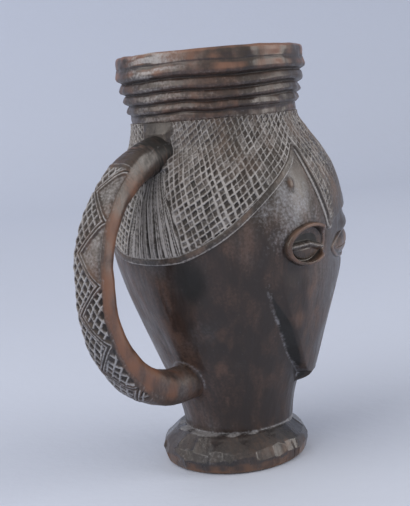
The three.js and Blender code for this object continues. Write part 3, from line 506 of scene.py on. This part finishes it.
# In front of the ear the hair ends in a lock with a bevelled edge and a groove behind it, and the hair
# before the lock is rubbed smooth.
lock_edge = ease((hair_turn - 78.3) / 0.8) * ease((92 - hair_turn) / 1.5)
lock_rim = lock_edge * ease((0.72 - from_line) / 0.3)
lock_groove = lock_edge * ease(1 - np.abs(from_line - 1.4) / 0.85)
rubbed_front = ease((hair_turn - 38) / 12) * ease((77.5 - hair_turn) / 5)
rubbed_front = rubbed_front * ease((hairline(hair_turn) + 26 - hair_z) / 20)
hair_wood = wood("hair_wood", dark=(0.022, 0.017, 0.015), warm=(0.075, 0.053, 0.043),
                 rubbed=(0.125, 0.082, 0.062), bloom=0.8)
for side, seed in ((-1, 31), (1, 61)):
    wander = 0.11 * rough(*hair_place, 14, 12, seed) + 0.06 * rough(*hair_place, 40, 40, seed + 1)
    rubbed_from = mix(124, 139, ease((hair_turn - 100) / 60))
    rubbed_flat = ease((hair_z - rubbed_from) / 24) * ease((hair_turn - 92) / 14)
    rubbed_flat *= (0.75 + 0.35 * rough(*hair_place, 9, 7, seed + 6))
    rubbed_flat = np.maximum(rubbed_flat, 0.92 * ease((89 - hair_turn) / 5))
    strength, heights, cells = [], [], []
    for (direction, pitch, bend), sign in zip(LINES, (1, -1)):
        # Lines are counted across their direction: whole numbers are their middles. Each is a little off
        # its place, and its width and height change along it.
        slope = np.radians(direction)
        capped = np.minimum(from_back, 85)
        turned = bend * capped * (2 * from_back - capped)
        run = from_back - (0 if sign > 0 else turned)
        climb = hair_z - (turned if sign > 0 else 0)
        count = (climb * np.cos(slope) - run * np.sin(slope)) / pitch + sign * wander
        line = np.round(count).astype(int)
        shift, swell = np.random.default_rng(seed + sign).uniform(-1, 1, (2, 131))[:, line % 131]
        patchy = rough(from_back / 90 + 0.13 * line, hair_z / 90, 30, 30, seed + 5)
        off = np.abs(count - line - 0.1 * shift) * pitch
        line_half = mix(0.37, 0.24, rubbed_flat) * (1 + 0.35 * swell + 0.35 * patchy)
        strength.append(1 - ease((off - 0.6 * line_half) / (1.1 * line_half)))
        heights.append(strength[-1] * (1 + 0.12 * swell + 0.16 * patchy))
        cells.append(np.floor(count))
    # Pits of uneven depth lie between the lines.
    lattice = np.maximum(*heights)
    on_lines = np.maximum(*strength)
    pit = 0.5 + 0.5 * rough(cells[0] / 41, cells[1] / 37, 41, 37, seed + 2)
    pit_depth = mix(1.0, 0.4, rubbed_flat) * mix(0.6, 1.1, pit)
    height = HAIR_RISE - (1 - lattice) * pit_depth - 0.1 * rubbed_flat
    # The fan's ridges spread with its width and wander a little.
    fan_edge, fan_ridges = FAN_EDGES[side]
    fan_half = fan_edge(hair_z)
    ridge_place = from_back / fan_half * fan_ridges
    ridge_wander = 0.4 * rough(from_back / 90, hair_z / 190, 50, 4, seed + 7)
    ridge_place = ridge_place + 0.3 * np.sin(2.3 * ridge_place + seed) + ridge_wander
    ridge = np.abs(ridge_place % 1 - 0.5) * 2
    uneven = rough(np.floor(ridge_place) / 23, hair_z / 120, 23, 7, seed + 8)
    fan_groove = (1 - ease((ridge - 0.1 - 0.25 * uneven) / 0.45)) * ease((FAN_TOP - hair_z) / 5)
    fan = HAIR_RISE + 0.15 * uneven - 0.9 * fan_groove
    in_fan = ease((fan_half - from_back) / 0.5 + 0.5) * (hair_z < FAN_TOP)
    height = mix(height, fan, in_fan)
    # The plain band and its two lines run along the hairline.
    band = ease((from_line - 0.55) / 0.3) * ease((3.0 - from_line) / 0.35)
    edge_lines = ease(1 - np.abs(from_line - 0.3) / 0.5) + ease(1 - np.abs(from_line - 3.3) / 0.5)
    height = mix(height, mix(0.75, 1.1, band) + 0.25 * edge_lines, in_band)
    height = mix(height, HAIR_RISE - 0.2, np.maximum(plain_root, 0.85 * rubbed_front)) + root_swell
    height = mix(height, 0.5, lock_rim) - 0.5 * lock_groove
    height += 0.05 * rough(*hair_place, 70, 70, seed + 3)
    outer = round_axis(side * hair_turn, skull(hair_turn, hair_z) + height, hair_z)
    back_z = mix(hair_z[:, -1:], hair_z[:, :1], np.linspace(0, 1, 7)[None])
    behind = round_axis(side * hair_turn, skull(hair_turn, back_z) - 2.6, back_z)
    hair_rings = np.concatenate([outer, behind], axis=1)
    # A ring at each end lies deep in the head and keeps the closing fans under the skin.
    end_turn = hair_turn[[0, -1]]
    end_z = np.concatenate([hair_z, back_z], axis=1)[[0, -1]]
    deep = round_axis(side * end_turn, skull(end_turn, end_z) - 7, end_z)
    hair_rings = np.concatenate([deep[:1], hair_rings, deep[1:]])
    # Marks: dust with a painted highlight on the lines and ridges, wear where they are rubbed, and painted
    # shade in the pits and grooves.
    brushed = 0.5 + 0.5 * rough(*hair_place, 25, 21, seed + 4)
    # The raised lines' tops take dust and a painted highlight, and so do the fan's crests.
    tops_dust_and_highlight = on_lines * mix(0.7, 0.46, rubbed_flat) * mix(0.75, 1.2, brushed)
    tops_dust_and_highlight = np.maximum(tops_dust_and_highlight, 0.33 * (1 - pit) * mix(0.6, 1.3, brushed))
    fan_top_dust_and_highlight = mix(0.5, 0.95, ease((ridge - 0.35) / 0.4)) * mix(0.7, 1.2, brushed) * (1 - 0.8 * fan_groove)
    band_dust = 0.12 * band + 0.75 * edge_lines * mix(0.6, 1.1, brushed)
    hair_dust = mix(mix(tops_dust_and_highlight, fan_top_dust_and_highlight, in_fan), band_dust, in_band)
    hair_wear = mix(0.32 * rubbed_flat * (1 - in_fan), 0.24 * band, in_band)
    # Painted shade in the pits, the fan's grooves and the band's incised lines, less where the hair is rubbed
    # flat.
    pit_soot = mix((1 - on_lines) * mix(0.35, 1.15, pit), fan_groove, in_fan)
    pit_soot *= mix(mix(0.48, 0.58, in_fan), 0.12, rubbed_flat * (1 - in_fan))
    hair_soot = mix(pit_soot, 0.35 * (1 - band) * (1 - edge_lines), in_band)
    # The lock's bevel is pale and painted shade lies in its groove; the plain root below the collar is made
    # darker.
    hair_dust = np.maximum(hair_dust, 0.8 * lock_rim) * (1 - lock_groove)
    hair_soot = np.maximum(hair_soot * (1 - lock_rim), 0.85 * lock_groove)
    hair_dust = mix(hair_dust, 0.1, 0.85 * rubbed_front) * (1 - plain_root)
    hair_soot = mix(hair_soot, 0.05, 0.85 * rubbed_front)
    hair_wear = np.maximum(hair_wear, 0.3 * rubbed_front) * (1 - plain_root)
    hair_dust += 0.1 * brushed * plain_root
    hair_soot = mix(hair_soot, 0.38, plain_root)
    marks = {}
    for name, values, behind_it in (("dust", hair_dust, 0.5), ("wear", hair_wear, 0), ("soot", hair_soot, 0)):
        values = np.concatenate([values, behind_it + 0 * back_z], axis=1)
        marks[name] = np.pad(values, ((1, 1), (0, 0)), "edge")
    carve("hair_left" if side > 0 else "hair_right", hair_rings, hair_wood, "dark_wood", **marks)

# Collar: the rim of the cup, cut as four ridges that widen as they climb, with a bead and a plain band above.
# The grooves were run by hand, so they rise and fall a little, and the top edge is rubbed brown by use.
COLLAR = [(167.3, 38.6), (167.9, 39.7), (169.3, 40.1), (171.0, 40.0), (172.2, 39.6), (173.2, 41.4),
          (174.1, 41.8), (175.9, 41.2), (176.8, 40.6), (177.8, 42.6), (178.8, 43.0), (180.8, 42.3),
          (181.7, 41.6), (182.9, 43.9), (184.0, 44.3), (186.3, 43.6), (187.4, 42.8), (188.8, 45.3),
          (190.2, 45.8), (192.6, 45.3), (193.6, 45.0), (194.0, 44.7), (194.6, 45.0), (197.0, 45.0),
          (198.8, 44.7), (199.6, 44.2), (200.0, 43.3)]
GROOVES = (168.0, 172.2, 176.9, 181.8, 187.5, 193.9)
COLLAR_LOW, COLLAR_HIGH = 167.3, 199.9
RIM_INSIDE, RIM_LEVEL = 40.0, 199.5
# How the edge rounds into the bowl: steps down from the rim, radii, and wear.
RIM_DOWN = np.array([[0, 0, 0, 0.25, 0.9]]).T
RIM_RADII = np.array([[42.9, 42.2, 41.2, 40.5, 40.05]]).T
RIM_WEAR = np.array([[0.7, 0.6, 0.5, 0.45, 0.4]]).T
collar_of = curve(COLLAR)
collar_angle = np.linspace(-180, 180, 420, endpoint=False)[None]
collar_turn = collar_angle / 360
collar_z = np.linspace(COLLAR_LOW, COLLAR_HIGH, 124)[:, None]
collar_place = collar_turn, collar_z / 40
swing = 0.75 * rough(collar_turn, collar_z / 70, 9, 5, 71) + 0.45 * rough(*collar_place, 23, 6, 72)
swing *= ease((collar_z - COLLAR_LOW) / 4) * ease((197.5 - collar_z) / 4)
knife_cut = np.interp(collar_z + swing, *zip(*COLLAR))
outer_radius = mix(collar_of(collar_z + swing), knife_cut, 0.6)
# The groove over the lowest ridge fades out above the ears.
fades_out = 1 - ease((np.abs(np.abs(collar_angle) - 100) - 20) / 25)
in_lowest = ease(1 - np.abs(collar_z - GROOVES[1]) / 1.6)
outer_radius = mix(outer_radius, np.maximum(outer_radius, 40.4), in_lowest * fades_out)
groove = sum(ease(1 - np.abs(collar_z + swing - level) / 1.5) for level in GROOVES)
knife = rough(collar_turn, collar_z / 33, 75, 9, 73)
flats = rough(collar_turn, collar_z / 66, 50, 14, 77)
outer_radius = outer_radius + 0.2 * knife + 0.4 * flats * (1 - groove)
outer_radius += 0.25 * rough(collar_turn, collar_z / 99, 8, 3, 74)
top_dip = 0.3 * rough(collar_turn, 0, 11, 1, 75) + 0.22 * rough(collar_turn, 0, 37, 1, 78)
outer_z = collar_z + (top_dip - 0.5) * ease((collar_z - 194) / 5.5)
down_z = np.linspace(198, COLLAR_LOW, 26)[:, None]
down_radius = curve([(COLLAR_LOW, BORE), (183, mix(BORE, RIM_INSIDE, 0.45)), (199.1, RIM_INSIDE)])(down_z)
down_radius = down_radius + 0.25 * rough(collar_turn, down_z / 60, 26, 5, 76)
collar_rings = np.concatenate([round_axis(collar_angle, outer_radius, outer_z),
                               round_axis(collar_angle, RIM_RADII, RIM_LEVEL - RIM_DOWN + top_dip),
                               round_axis(collar_angle, down_radius, down_z)])

# The collar's marks: brown where hands rub it, most on the band and the edge, dust on the ridges, pale
# dust with a painted highlight on the back of the collar towards the left lamp, and painted shade in the
# grooves.
handled = 0.5 + 0.3 * rough(*collar_place, 19, 3, 79) + 0.25 * rough(*collar_place, 60, 9, 81)
on_rim = ease((collar_z - 188) / 3)
collar_wear = (0.2 + 0.6 * on_rim) * handled * (1 - groove) + 0.35 * ease((collar_z - 198.2) / 1.2)
# A painted highlight with some pale dust on the back of the collar, towards the left lamp, most on the rim.
pale_and_lit_left = ease(1 - np.abs(wrapped(collar_angle + 176)) / 30) * mix(0.25, 0.9, on_rim)
pale_top = ease((0.55 + 0.8 * rough(collar_turn, collar_z / 50, 28, 40, 80) - groove) / 0.7)
collar_dust = (mix(0.22, 0.05, on_rim) * (1 - 0.6 * handled) + 0.75 * pale_and_lit_left) * pale_top
collar_dust += 0.2 * ease(1 - np.abs(collar_z - 168.2) / 1.4)
# Painted shade in the grooves.
collar_soot = 0.6 * groove * mix(1, 0.6, handled) * mix(1, 0.3, on_rim)
lip_wear = RIM_WEAR * (0.6 + 0.4 * handled[:1])
inside = 0 * down_z + 0 * collar_angle
collar_wood = wood("collar_wood", dark=(0.028, 0.020, 0.018), warm=(0.080, 0.046, 0.036),
                   rubbed=(0.155, 0.076, 0.050), bloom=0.32, shine=0.38)
carve("ringed_collar", collar_rings, collar_wood, "worn_wood", ["collar"], endless=True,
      wear=np.concatenate([collar_wear, lip_wear, inside + 0.25]),
      dust=np.concatenate([collar_dust, 0 * lip_wear, inside]),
      soot=np.concatenate([collar_soot, 0 * lip_wear, inside]))

# Handle: a strap left standing from the nape to the foot of the head, bent like a bow. Its outer face carries
# a zigzag of raised lines and hatching, and the edges and the plain sides are rubbed brown.
HANDLE_PATH = [(0, 1), (.2, .993), (.4, .965), (.6, .915), (.78, .828), (.92, .71), (.995, .572), (1, .44),
               (.952, .309), (.84, .192), (.67, .092), (.46, .029), (.24, .002), (0, 0)]
HANDLE_INNER, HANDLE_REACH, HANDLE_LOW, HANDLE_HIGH = 29.8, 88.6, 44.3, 155.0
MIDDLE_WIDTH, ROOT_WIDTH, MIDDLE_THICK, ROOT_THICK = 19.6, 16.4, 11.4, 17.4
HANDLE_STEPS = 600


def even_path(points, count):
    """Points at even spacing on a smooth path: each coordinate is a curve of the length walked so far."""
    walked = np.concatenate([[0], np.cumsum(np.linalg.norm(np.diff(points, axis=0), axis=1))])
    fine = np.linspace(0, walked[-1], 4000)
    smooth = np.stack([curve(zip(walked, column))(fine) for column in points.T], -1)
    length = np.concatenate([[0], np.cumsum(np.linalg.norm(np.diff(smooth, axis=0), axis=1))])
    even = np.linspace(0, length[-1], count)
    return np.stack([np.interp(even, length, column) for column in smooth.T], -1), length[-1]


share = np.array(HANDLE_PATH)
middle = np.stack([mix(HANDLE_INNER, HANDLE_REACH, share[:, 0]),
                   mix(HANDLE_LOW, HANDLE_HIGH, share[:, 1])], -1)
path, handle_length = even_path(middle, HANDLE_STEPS)
heading = np.gradient(path, axis=0)
heading /= np.linalg.norm(heading, axis=1)[:, None]
outward = np.stack([-heading[:, 1], heading[:, 0]], -1)
outward *= np.sign(outward[HANDLE_STEPS // 2, 0])
along = np.linspace(0, 1, HANDLE_STEPS)[:, None]
width = curve([(0, ROOT_WIDTH * 1.3), (.06, ROOT_WIDTH * 1.1), (.12, ROOT_WIDTH), (.4, MIDDLE_WIDTH),
               (.65, MIDDLE_WIDTH), (.88, ROOT_WIDTH), (1, ROOT_WIDTH)])(along)
thick = curve([(0, ROOT_THICK * 1.08), (.1, ROOT_THICK * .95), (.28, MIDDLE_THICK * 1.06), (.5, MIDDLE_THICK),
               (.66, mix(MIDDLE_THICK, ROOT_THICK, .4)), (.82, mix(MIDDLE_THICK, ROOT_THICK, .85)),
               (1, ROOT_THICK)])(along)
sector = np.linspace(-1, 1, 156, endpoint=False)[None]  # round the section from one side over the outer face
turn_share = np.abs(sector)
across_of = curve([(0, 0), (.12, .42), (.2, .68), (.27, .83), (.32, .90), (.4, .955), (.52, .98), (.66, .86),
                   (.82, .5), (1, 0)])
out_of = curve([(0, 1), (.12, .965), (.2, .86), (.27, .68), (.32, .42), (.4, .12), (.52, -.3), (.66, -.76),
                (.82, -.95), (1, -1)])
at_top = ease((0.2 - along) / 0.12)
at_foot = ease((along - 0.8) / 0.12)
bulge_across = np.sin(turn_share * np.pi)
bulge_out = np.cos(turn_share * np.pi)
section_across = mix(across_of(turn_share), bulge_across, at_top + at_foot) * np.sign(sector) * width / 2
section_out = mix(out_of(turn_share), bulge_out, at_top + at_foot) * thick / 2
strap_place = along, sector / 2
hand_cut = 0.28 * rough(*strap_place, 17, 5, 81) + 0.1 * rough(*strap_place, 70, 16, 82)
# Short knife strokes cross the upper root.
near_root = ease((0.3 - along) / 0.12)
strokes = rough(*strap_place, 230, 16, 90)
section_out = section_out + hand_cut + 0.1 * near_root * strokes
side_cut = 0.45 * rough(*strap_place, 19, 4, 83)
section_across = section_across + side_cut * np.sign(sector) * ease((turn_share - 0.2) / 0.1)

# The outer face carries one zigzag of two raised lines. The triangles on one side of it are hatched, and
# those on the other are cut back flat in the upper half and hatched too in the lower half.
PATTERN_FROM, PATTERN_TO, ZIGZAG, HATCH = 0.2, 0.8, 25.5, 3.2
TURNS_AT = 3.6, -7.6  # where the zigzag turns, to one side and the other
HATCHED_FROM = 52  # from here on both sides of it are hatched
on_face = ease((0.288 - turn_share) / 0.02)
run = (along - PATTERN_FROM) * handle_length + 0 * sector
face_place = run / 90, sector / 2
zig = np.abs((run / ZIGZAG + 0.02 * rough(*face_place, 9, 3, 84)) % 1 - 0.5) * 2
middle_line = mix(*TURNS_AT, zig)
off_line = (section_across - middle_line) * 0.86
raised = np.maximum(*[ease(1 - np.abs(off_line - place) / 0.6) for place in (-0.85, 0.85)])
groove_between = ease(1 - np.abs(off_line) / 0.4)
all_hatched = ease((run - HATCHED_FROM) / 2)
hatched_side = np.maximum(ease((off_line - 1.5) / 0.4), all_hatched * ease((-off_line - 1.5) / 0.4))
plain_side = ease((-off_line - 1.5) / 0.4) * (1 - all_hatched)
hatching = []
for tilt, seed in ((0.95, 86), (-0.95, 87)):
    count = (run * np.cos(tilt) + section_across * np.sin(tilt)) / HATCH
    count += 0.12 * rough(*face_place, 30, 9, seed)
    hatching.append(1 - ease((np.abs(count - np.round(count)) * HATCH - 0.2) / 0.42))
hatched = np.maximum(*hatching)
patterned = on_face * ease((along - PATTERN_FROM) / 0.004) * ease((PATTERN_TO - along) / 0.004)
end_lines = on_face * sum(ease(1 - np.abs((along - place) * handle_length) / 0.8)
                          for place in (PATTERN_FROM - 0.008, PATTERN_TO + 0.008))
cut_back = hatched_side * mix(-0.95, 0.05, hatched) - 0.75 * plain_side - 0.6 * groove_between
relief = np.where(raised > 0.4, 0.3 * raised, cut_back)
section_out = section_out + patterned * relief + 0.25 * end_lines
handle_back = path[:, :1] + outward[:, :1] * section_out
handle_z = path[:, 1:] + outward[:, 1:] * section_out
handle_rings = np.stack([section_across, handle_back, handle_z], -1)

# The handle's marks: brown on the edges and sides where it is grasped, dust on the raised pattern, a painted
# highlight along the worn edge, painted shade in its grooves, and a darker upper root by the hair.
worn_edge = ease(1 - np.abs(turn_share - 0.315) / 0.04)
worn_side = ease((turn_share - 0.32) / 0.03) * ease((0.97 - turn_share) / 0.1)
bare = curve([(0, 0), (.16, .06), (.3, .5), (.5, .95), (.72, 1), (.85, .45), (1, .15)])(along)
grasped = 0.85 + 0.3 * rough(*strap_place, 23, 5, 89)
handle_wear = (0.4 * worn_edge + 0.56 * worn_side) * bare * grasped + 0.1 + near_root * (0.08 + 0.1 * strokes)
brush = 0.5 + 0.5 * rough(*face_place, 26, 9, 88)
lines_dust = 0.66 * raised + 0.72 * hatched * hatched_side + 0.32 * plain_side
handle_dust = patterned * lines_dust * mix(0.7, 1.2, brush) + 0.4 * end_lines
# A painted highlight along the worn edge.
handle_dust += 0.28 * worn_edge * brush * (1 - at_foot)
# Painted shade in the pattern's grooves; the upper root is darker, broken by the knife strokes.
handle_soot = patterned * (0.5 * hatched_side * (1 - hatched) + 0.8 * groove_between * (1 - raised))
handle_soot = handle_soot + 0.65 * at_top - 0.3 * near_root * strokes
handle_wood = wood("handle_wood", dark=(0.027, 0.020, 0.018), warm=(0.075, 0.046, 0.035),
                   rubbed=(0.160, 0.072, 0.042), dust=(0.33, 0.33, 0.35), shine=0.36)
carve("bow_handle", handle_rings, handle_wood, "worn_wood", ["handle"],
      wear=handle_wear, dust=handle_dust, soot=handle_soot)

# Ears: an oval ring standing round a hollow, with a tongue across it. The ring is rubbed brown and runs out
# towards the face.
EAR_RIM, EAR_HOLLOW = 3.1, -1.9
ear_wood = wood("ear_wood", dark=(0.020, 0.014, 0.011), warm=(0.060, 0.036, 0.026),
                rubbed=(0.135, 0.076, 0.052), shine=0.3)


def on_both_sides(name, turn, z, height, depth, node="", **marks):
    """The same relief on the right and on the left of the head. Its outermost ring runs on to a ring that
    lies at the given depth in the wood, where the marks are 0."""
    surface = head_surface(turn, z)
    padded = {mark: np.pad(values, ((1, 0), (0, 0))) for mark, values in marks.items()}
    for side, word in ((-1, "_right"), (1, "_left")):
        base = round_axis(side * turn[:1], surface[:1] - depth, z[:1])
        rings = np.concatenate([base, round_axis(side * turn, surface + height, z)])
        carve(name + word, rings, ear_wood, "worn_wood", [node + word] if node else (), **padded)


round_oval = np.radians(np.linspace(0, 360, 150, endpoint=False)[None])
ear_out = np.concatenate([[1.06], np.linspace(1.0, 0.02, 46)])[:, None]
ear_x = ear_out * np.cos(round_oval) * EAR_LONG
ear_up = ear_out * np.sin(round_oval) * EAR_HIGH
open_front = ease((np.cos(round_oval) - 0.6) / 0.4)
rim = ease((1.0 - ear_out) / 0.09) * ease((ear_out - 0.72) / 0.09)
off_tongue = ear_up + 0.2 + 3.6 * ease(ear_x / 18) + 0.5 * rough(ear_x / 60, ear_up / 60, 9, 3, 91)
tongue = ease(1 - np.abs(off_tongue) / 2.1) * ease((0.8 - ear_out) / 0.1)
lens = ease((-ear_up - 0.4) / 2.0) * ease((0.78 - ear_out) / 0.15)
ear_height = EAR_HOLLOW + (EAR_RIM - EAR_HOLLOW) * rim * (1 - 0.7 * open_front) + 2.4 * tongue + 1.5 * lens
ear_height = np.where(ear_out > 0.97, np.maximum(ear_height, -0.4), ear_height)
ear_height = np.where(ear_out > 1.0, -1.5, ear_height)
# Painted shade fills the ear's hollow round the tongue and the lids.
on_both_sides("ear_ring", EAR_ANGLE - ear_x / ARC, EAR_LEVEL + ear_up, ear_height, 3.4, "ear",
              wear=0.55 * rim + 0.25 * lens, dust=0.42 * tongue + 0.25 * ease((ear_out - 0.98) / 0.02),
              soot=0.8 * (1 - rim) * (1 - tongue) * (1 - lens) * (ear_out < 0.97))

# Eyes: shut lids that swell inside an almond rim, cut from the same block as the face and rubbed a little
# where they stand out.
EYE_ANGLE, EYE_LEVEL, EYE_LONG, EYE_HIGH, EYE_SUNK = 50.0, 102.4, 24.0, 7.3, -1.3
eye_out = np.concatenate([[1.08], np.linspace(1.04, 0.02, 44)])[:, None]
pinch = 1 - 0.42 * np.cos(round_oval) ** 4
eye_x = eye_out * np.cos(round_oval) * EYE_LONG
eye_up = eye_out * np.sin(round_oval) * pinch * EYE_HIGH
eye_rim = ease((1.04 - eye_out) / 0.08) * ease((eye_out - 0.8) / 0.08)
lid = np.sqrt(np.clip(1 - (eye_out / 0.84) ** 2, 0, 1))
slit = ease(1 - np.abs(eye_up + 0.8) / 0.7) * ease((0.74 - eye_out) / 0.1)
eye_height = EYE_SUNK + 1.7 * eye_rim + 2.9 * lid - 0.9 * slit
on_both_sides("eye", EYE_ANGLE - eye_x / np.radians(58), EYE_LEVEL + eye_up, eye_height, 4,
              wear=0.4 * eye_rim + 0.5 * lid, dust=0.5 * slit + 0.35 * ease(1 - np.abs(eye_out - 0.8) / 0.06))

# Stage: a sweep of pale paper, two large soft lamps at the sides and a weak light all round. The paper's
# colour is painted a little deeper where it rises behind the cup, and deeper still to the right, as painted
# shade.
# The two wall colours are painted shade: less light on the rising paper, and less still to the right.
FLOOR_PAPER, WALL_SHADE_LEFT, SHADED_WALL = (0.520, 0.572, 0.695), (0.458, 0.512, 0.643), (0.412, 0.461, 0.580)
IMAGE_RIGHT = np.array([-0.743, -0.669, 0.0])
TOWARDS_CAMERA = np.array([-0.669, 0.743, 0.0])
UP = np.array([0.0, 0.0, 1.0])
SHEET_ROWS, SHEET_SIDE = 60, 3.0
SHEET_PATH = [(3.0, 0.0), (0.0, 0.0), (-0.5, 0.0), (-0.7, 0.02), (-0.85, 0.08), (-0.95, 0.2), (-1.0, 0.4),
              (-1.0, 2.4)]
LAMP_WHITE = (1.0, 0.965, 0.92)
ROOM_WHITE = (1.0, 0.955, 0.905, 1)
FAR_PAPER = (0.44, 0.475, 0.58, 1)
paper = bpy.data.materials.new("paper")
paper.use_nodes = True
tree = paper.node_tree
spot = add_node(tree, "ShaderNodeTexCoord", {})["Object"]
spot_height = add_node(tree, "ShaderNodeSeparateXYZ", {"Vector": spot})["Z"]
rise = add_node(tree, "ShaderNodeMapRange", {"Value": spot_height, "From Max": 0.045})["Result"]
to_right = add_node(tree, "ShaderNodeVectorMath", {0: spot, 1: IMAGE_RIGHT}, operation="DOT_PRODUCT")["Value"]
across_paper = {"Value": to_right, "From Min": -0.35, "From Max": 0.35}
shading = add_node(tree, "ShaderNodeMapRange", across_paper)["Result"]
paper_colour = blended(tree, FLOOR_PAPER, blended(tree, WALL_SHADE_LEFT, SHADED_WALL, shading), rise)
fibres = add_node(tree, "ShaderNodeTexNoise", {"Scale": 160, "Detail": 8, "Vector": spot})["Fac"]
fuzz = add_node(tree, "ShaderNodeBump", {"Strength": 0.25, "Distance": 0.001, "Height": fibres})["Normal"]
fill(tree, tree.nodes["Principled BSDF"], {"Base Color": paper_colour, "Roughness": 0.9, "Normal": fuzz})
sweep = even_path(np.array(SHEET_PATH), SHEET_ROWS)[0]
sides = np.array([-SHEET_SIDE, SHEET_SIDE])
sheet_points = sweep[:, :1, None] * TOWARDS_CAMERA + sweep[:, 1:, None] * UP
sheet_points = sheet_points + sides[None, :, None] * IMAGE_RIGHT
row = np.arange(SHEET_ROWS - 1)
sheet_faces = np.stack([row * 2, row * 2 + 1, row * 2 + 3, row * 2 + 2], -1)
sheet_mesh = bpy.data.meshes.new("paper_sweep")
sheet_mesh.from_pydata(sheet_points.reshape(-1, 3).tolist(), [], sheet_faces.tolist())
sheet_mesh.shade_smooth()
sheet_mesh.materials.append(paper)
paper_sweep = put_in_scene("paper_sweep", sheet_mesh)


def facing(right, upward, backward):
    """The rotation of a lamp or camera from three directions at right angles. It looks away from the last."""
    return Matrix(np.stack([right, upward, backward], -1).tolist()).to_euler()


def soft_lamp(name, towards, distance, size, power):
    """A round area lamp that faces the middle of the cup."""
    lamp = bpy.data.lights.new(name, "AREA")
    lamp.shape = "DISK"
    lamp.size = size
    lamp.energy = power
    lamp.color = LAMP_WHITE
    holder = put_in_scene(name, lamp)
    towards = towards / np.linalg.norm(towards)
    holder.location = towards * distance + 0.1 * UP
    right = np.cross(UP, towards)
    right /= np.linalg.norm(right)
    holder.rotation_euler = facing(right, np.cross(towards, right), towards)


soft_lamp("left_lamp", -0.85 * IMAGE_RIGHT + 0.45 * TOWARDS_CAMERA + 0.75 * UP,
          distance=1.2, size=1.4, power=9.8)
soft_lamp("right_lamp", 0.95 * IMAGE_RIGHT + 0.16 * TOWARDS_CAMERA + 0.32 * UP,
          distance=1.2, size=0.8, power=6.8)
world = bpy.data.worlds.new("room")
world.use_nodes = True
room = world.node_tree
room_light = room.nodes["Background"]
fill(room, room_light, {"Color": ROOM_WHITE, "Strength": 0.74})
far_paper = add_node(room, "ShaderNodeBackground", {"Color": FAR_PAPER})["Background"]
by_camera = add_node(room, "ShaderNodeLightPath", {})["Is Camera Ray"]
shaders = {"Fac": by_camera, 1: room_light.outputs["Background"], 2: far_paper}
seen = add_node(room, "ShaderNodeMixShader", shaders)["Shader"]
fill(room, room.nodes["World Output"], {"Surface": seen})
bpy.context.scene.world = world

# Camera: half a metre away at the height of the collar, tipped 9 degrees down and rolled 5 degrees.
DISTANCE, ASIDE, EYE_HEIGHT = 0.5, 0.01, 0.1803
PITCH, ROLL = 0.156, np.radians(5)
SENSOR_HEIGHT, FOCAL_PIXELS, PHOTO_HEIGHT = 36, 1018, 506
camera_data = bpy.data.cameras.new("camera")
camera_data.sensor_fit = "VERTICAL"
camera_data.sensor_height = SENSOR_HEIGHT
camera_data.lens = SENSOR_HEIGHT * FOCAL_PIXELS / PHOTO_HEIGHT
camera = put_in_scene("camera", camera_data)
camera.location = DISTANCE * TOWARDS_CAMERA - ASIDE * IMAGE_RIGHT + [0, -FOOT_SET_BACK * MM, EYE_HEIGHT]
ahead = -np.cos(PITCH) * TOWARDS_CAMERA - np.sin(PITCH) * UP
level_up = -np.sin(PITCH) * TOWARDS_CAMERA + np.cos(PITCH) * UP
right = np.cos(ROLL) * IMAGE_RIGHT - np.sin(ROLL) * level_up
upward = np.cos(ROLL) * level_up + np.sin(ROLL) * IMAGE_RIGHT
camera.rotation_euler = facing(right, upward, -ahead)
bpy.context.scene.camera = camera
bpy.context.scene.view_settings.view_transform = "Standard"
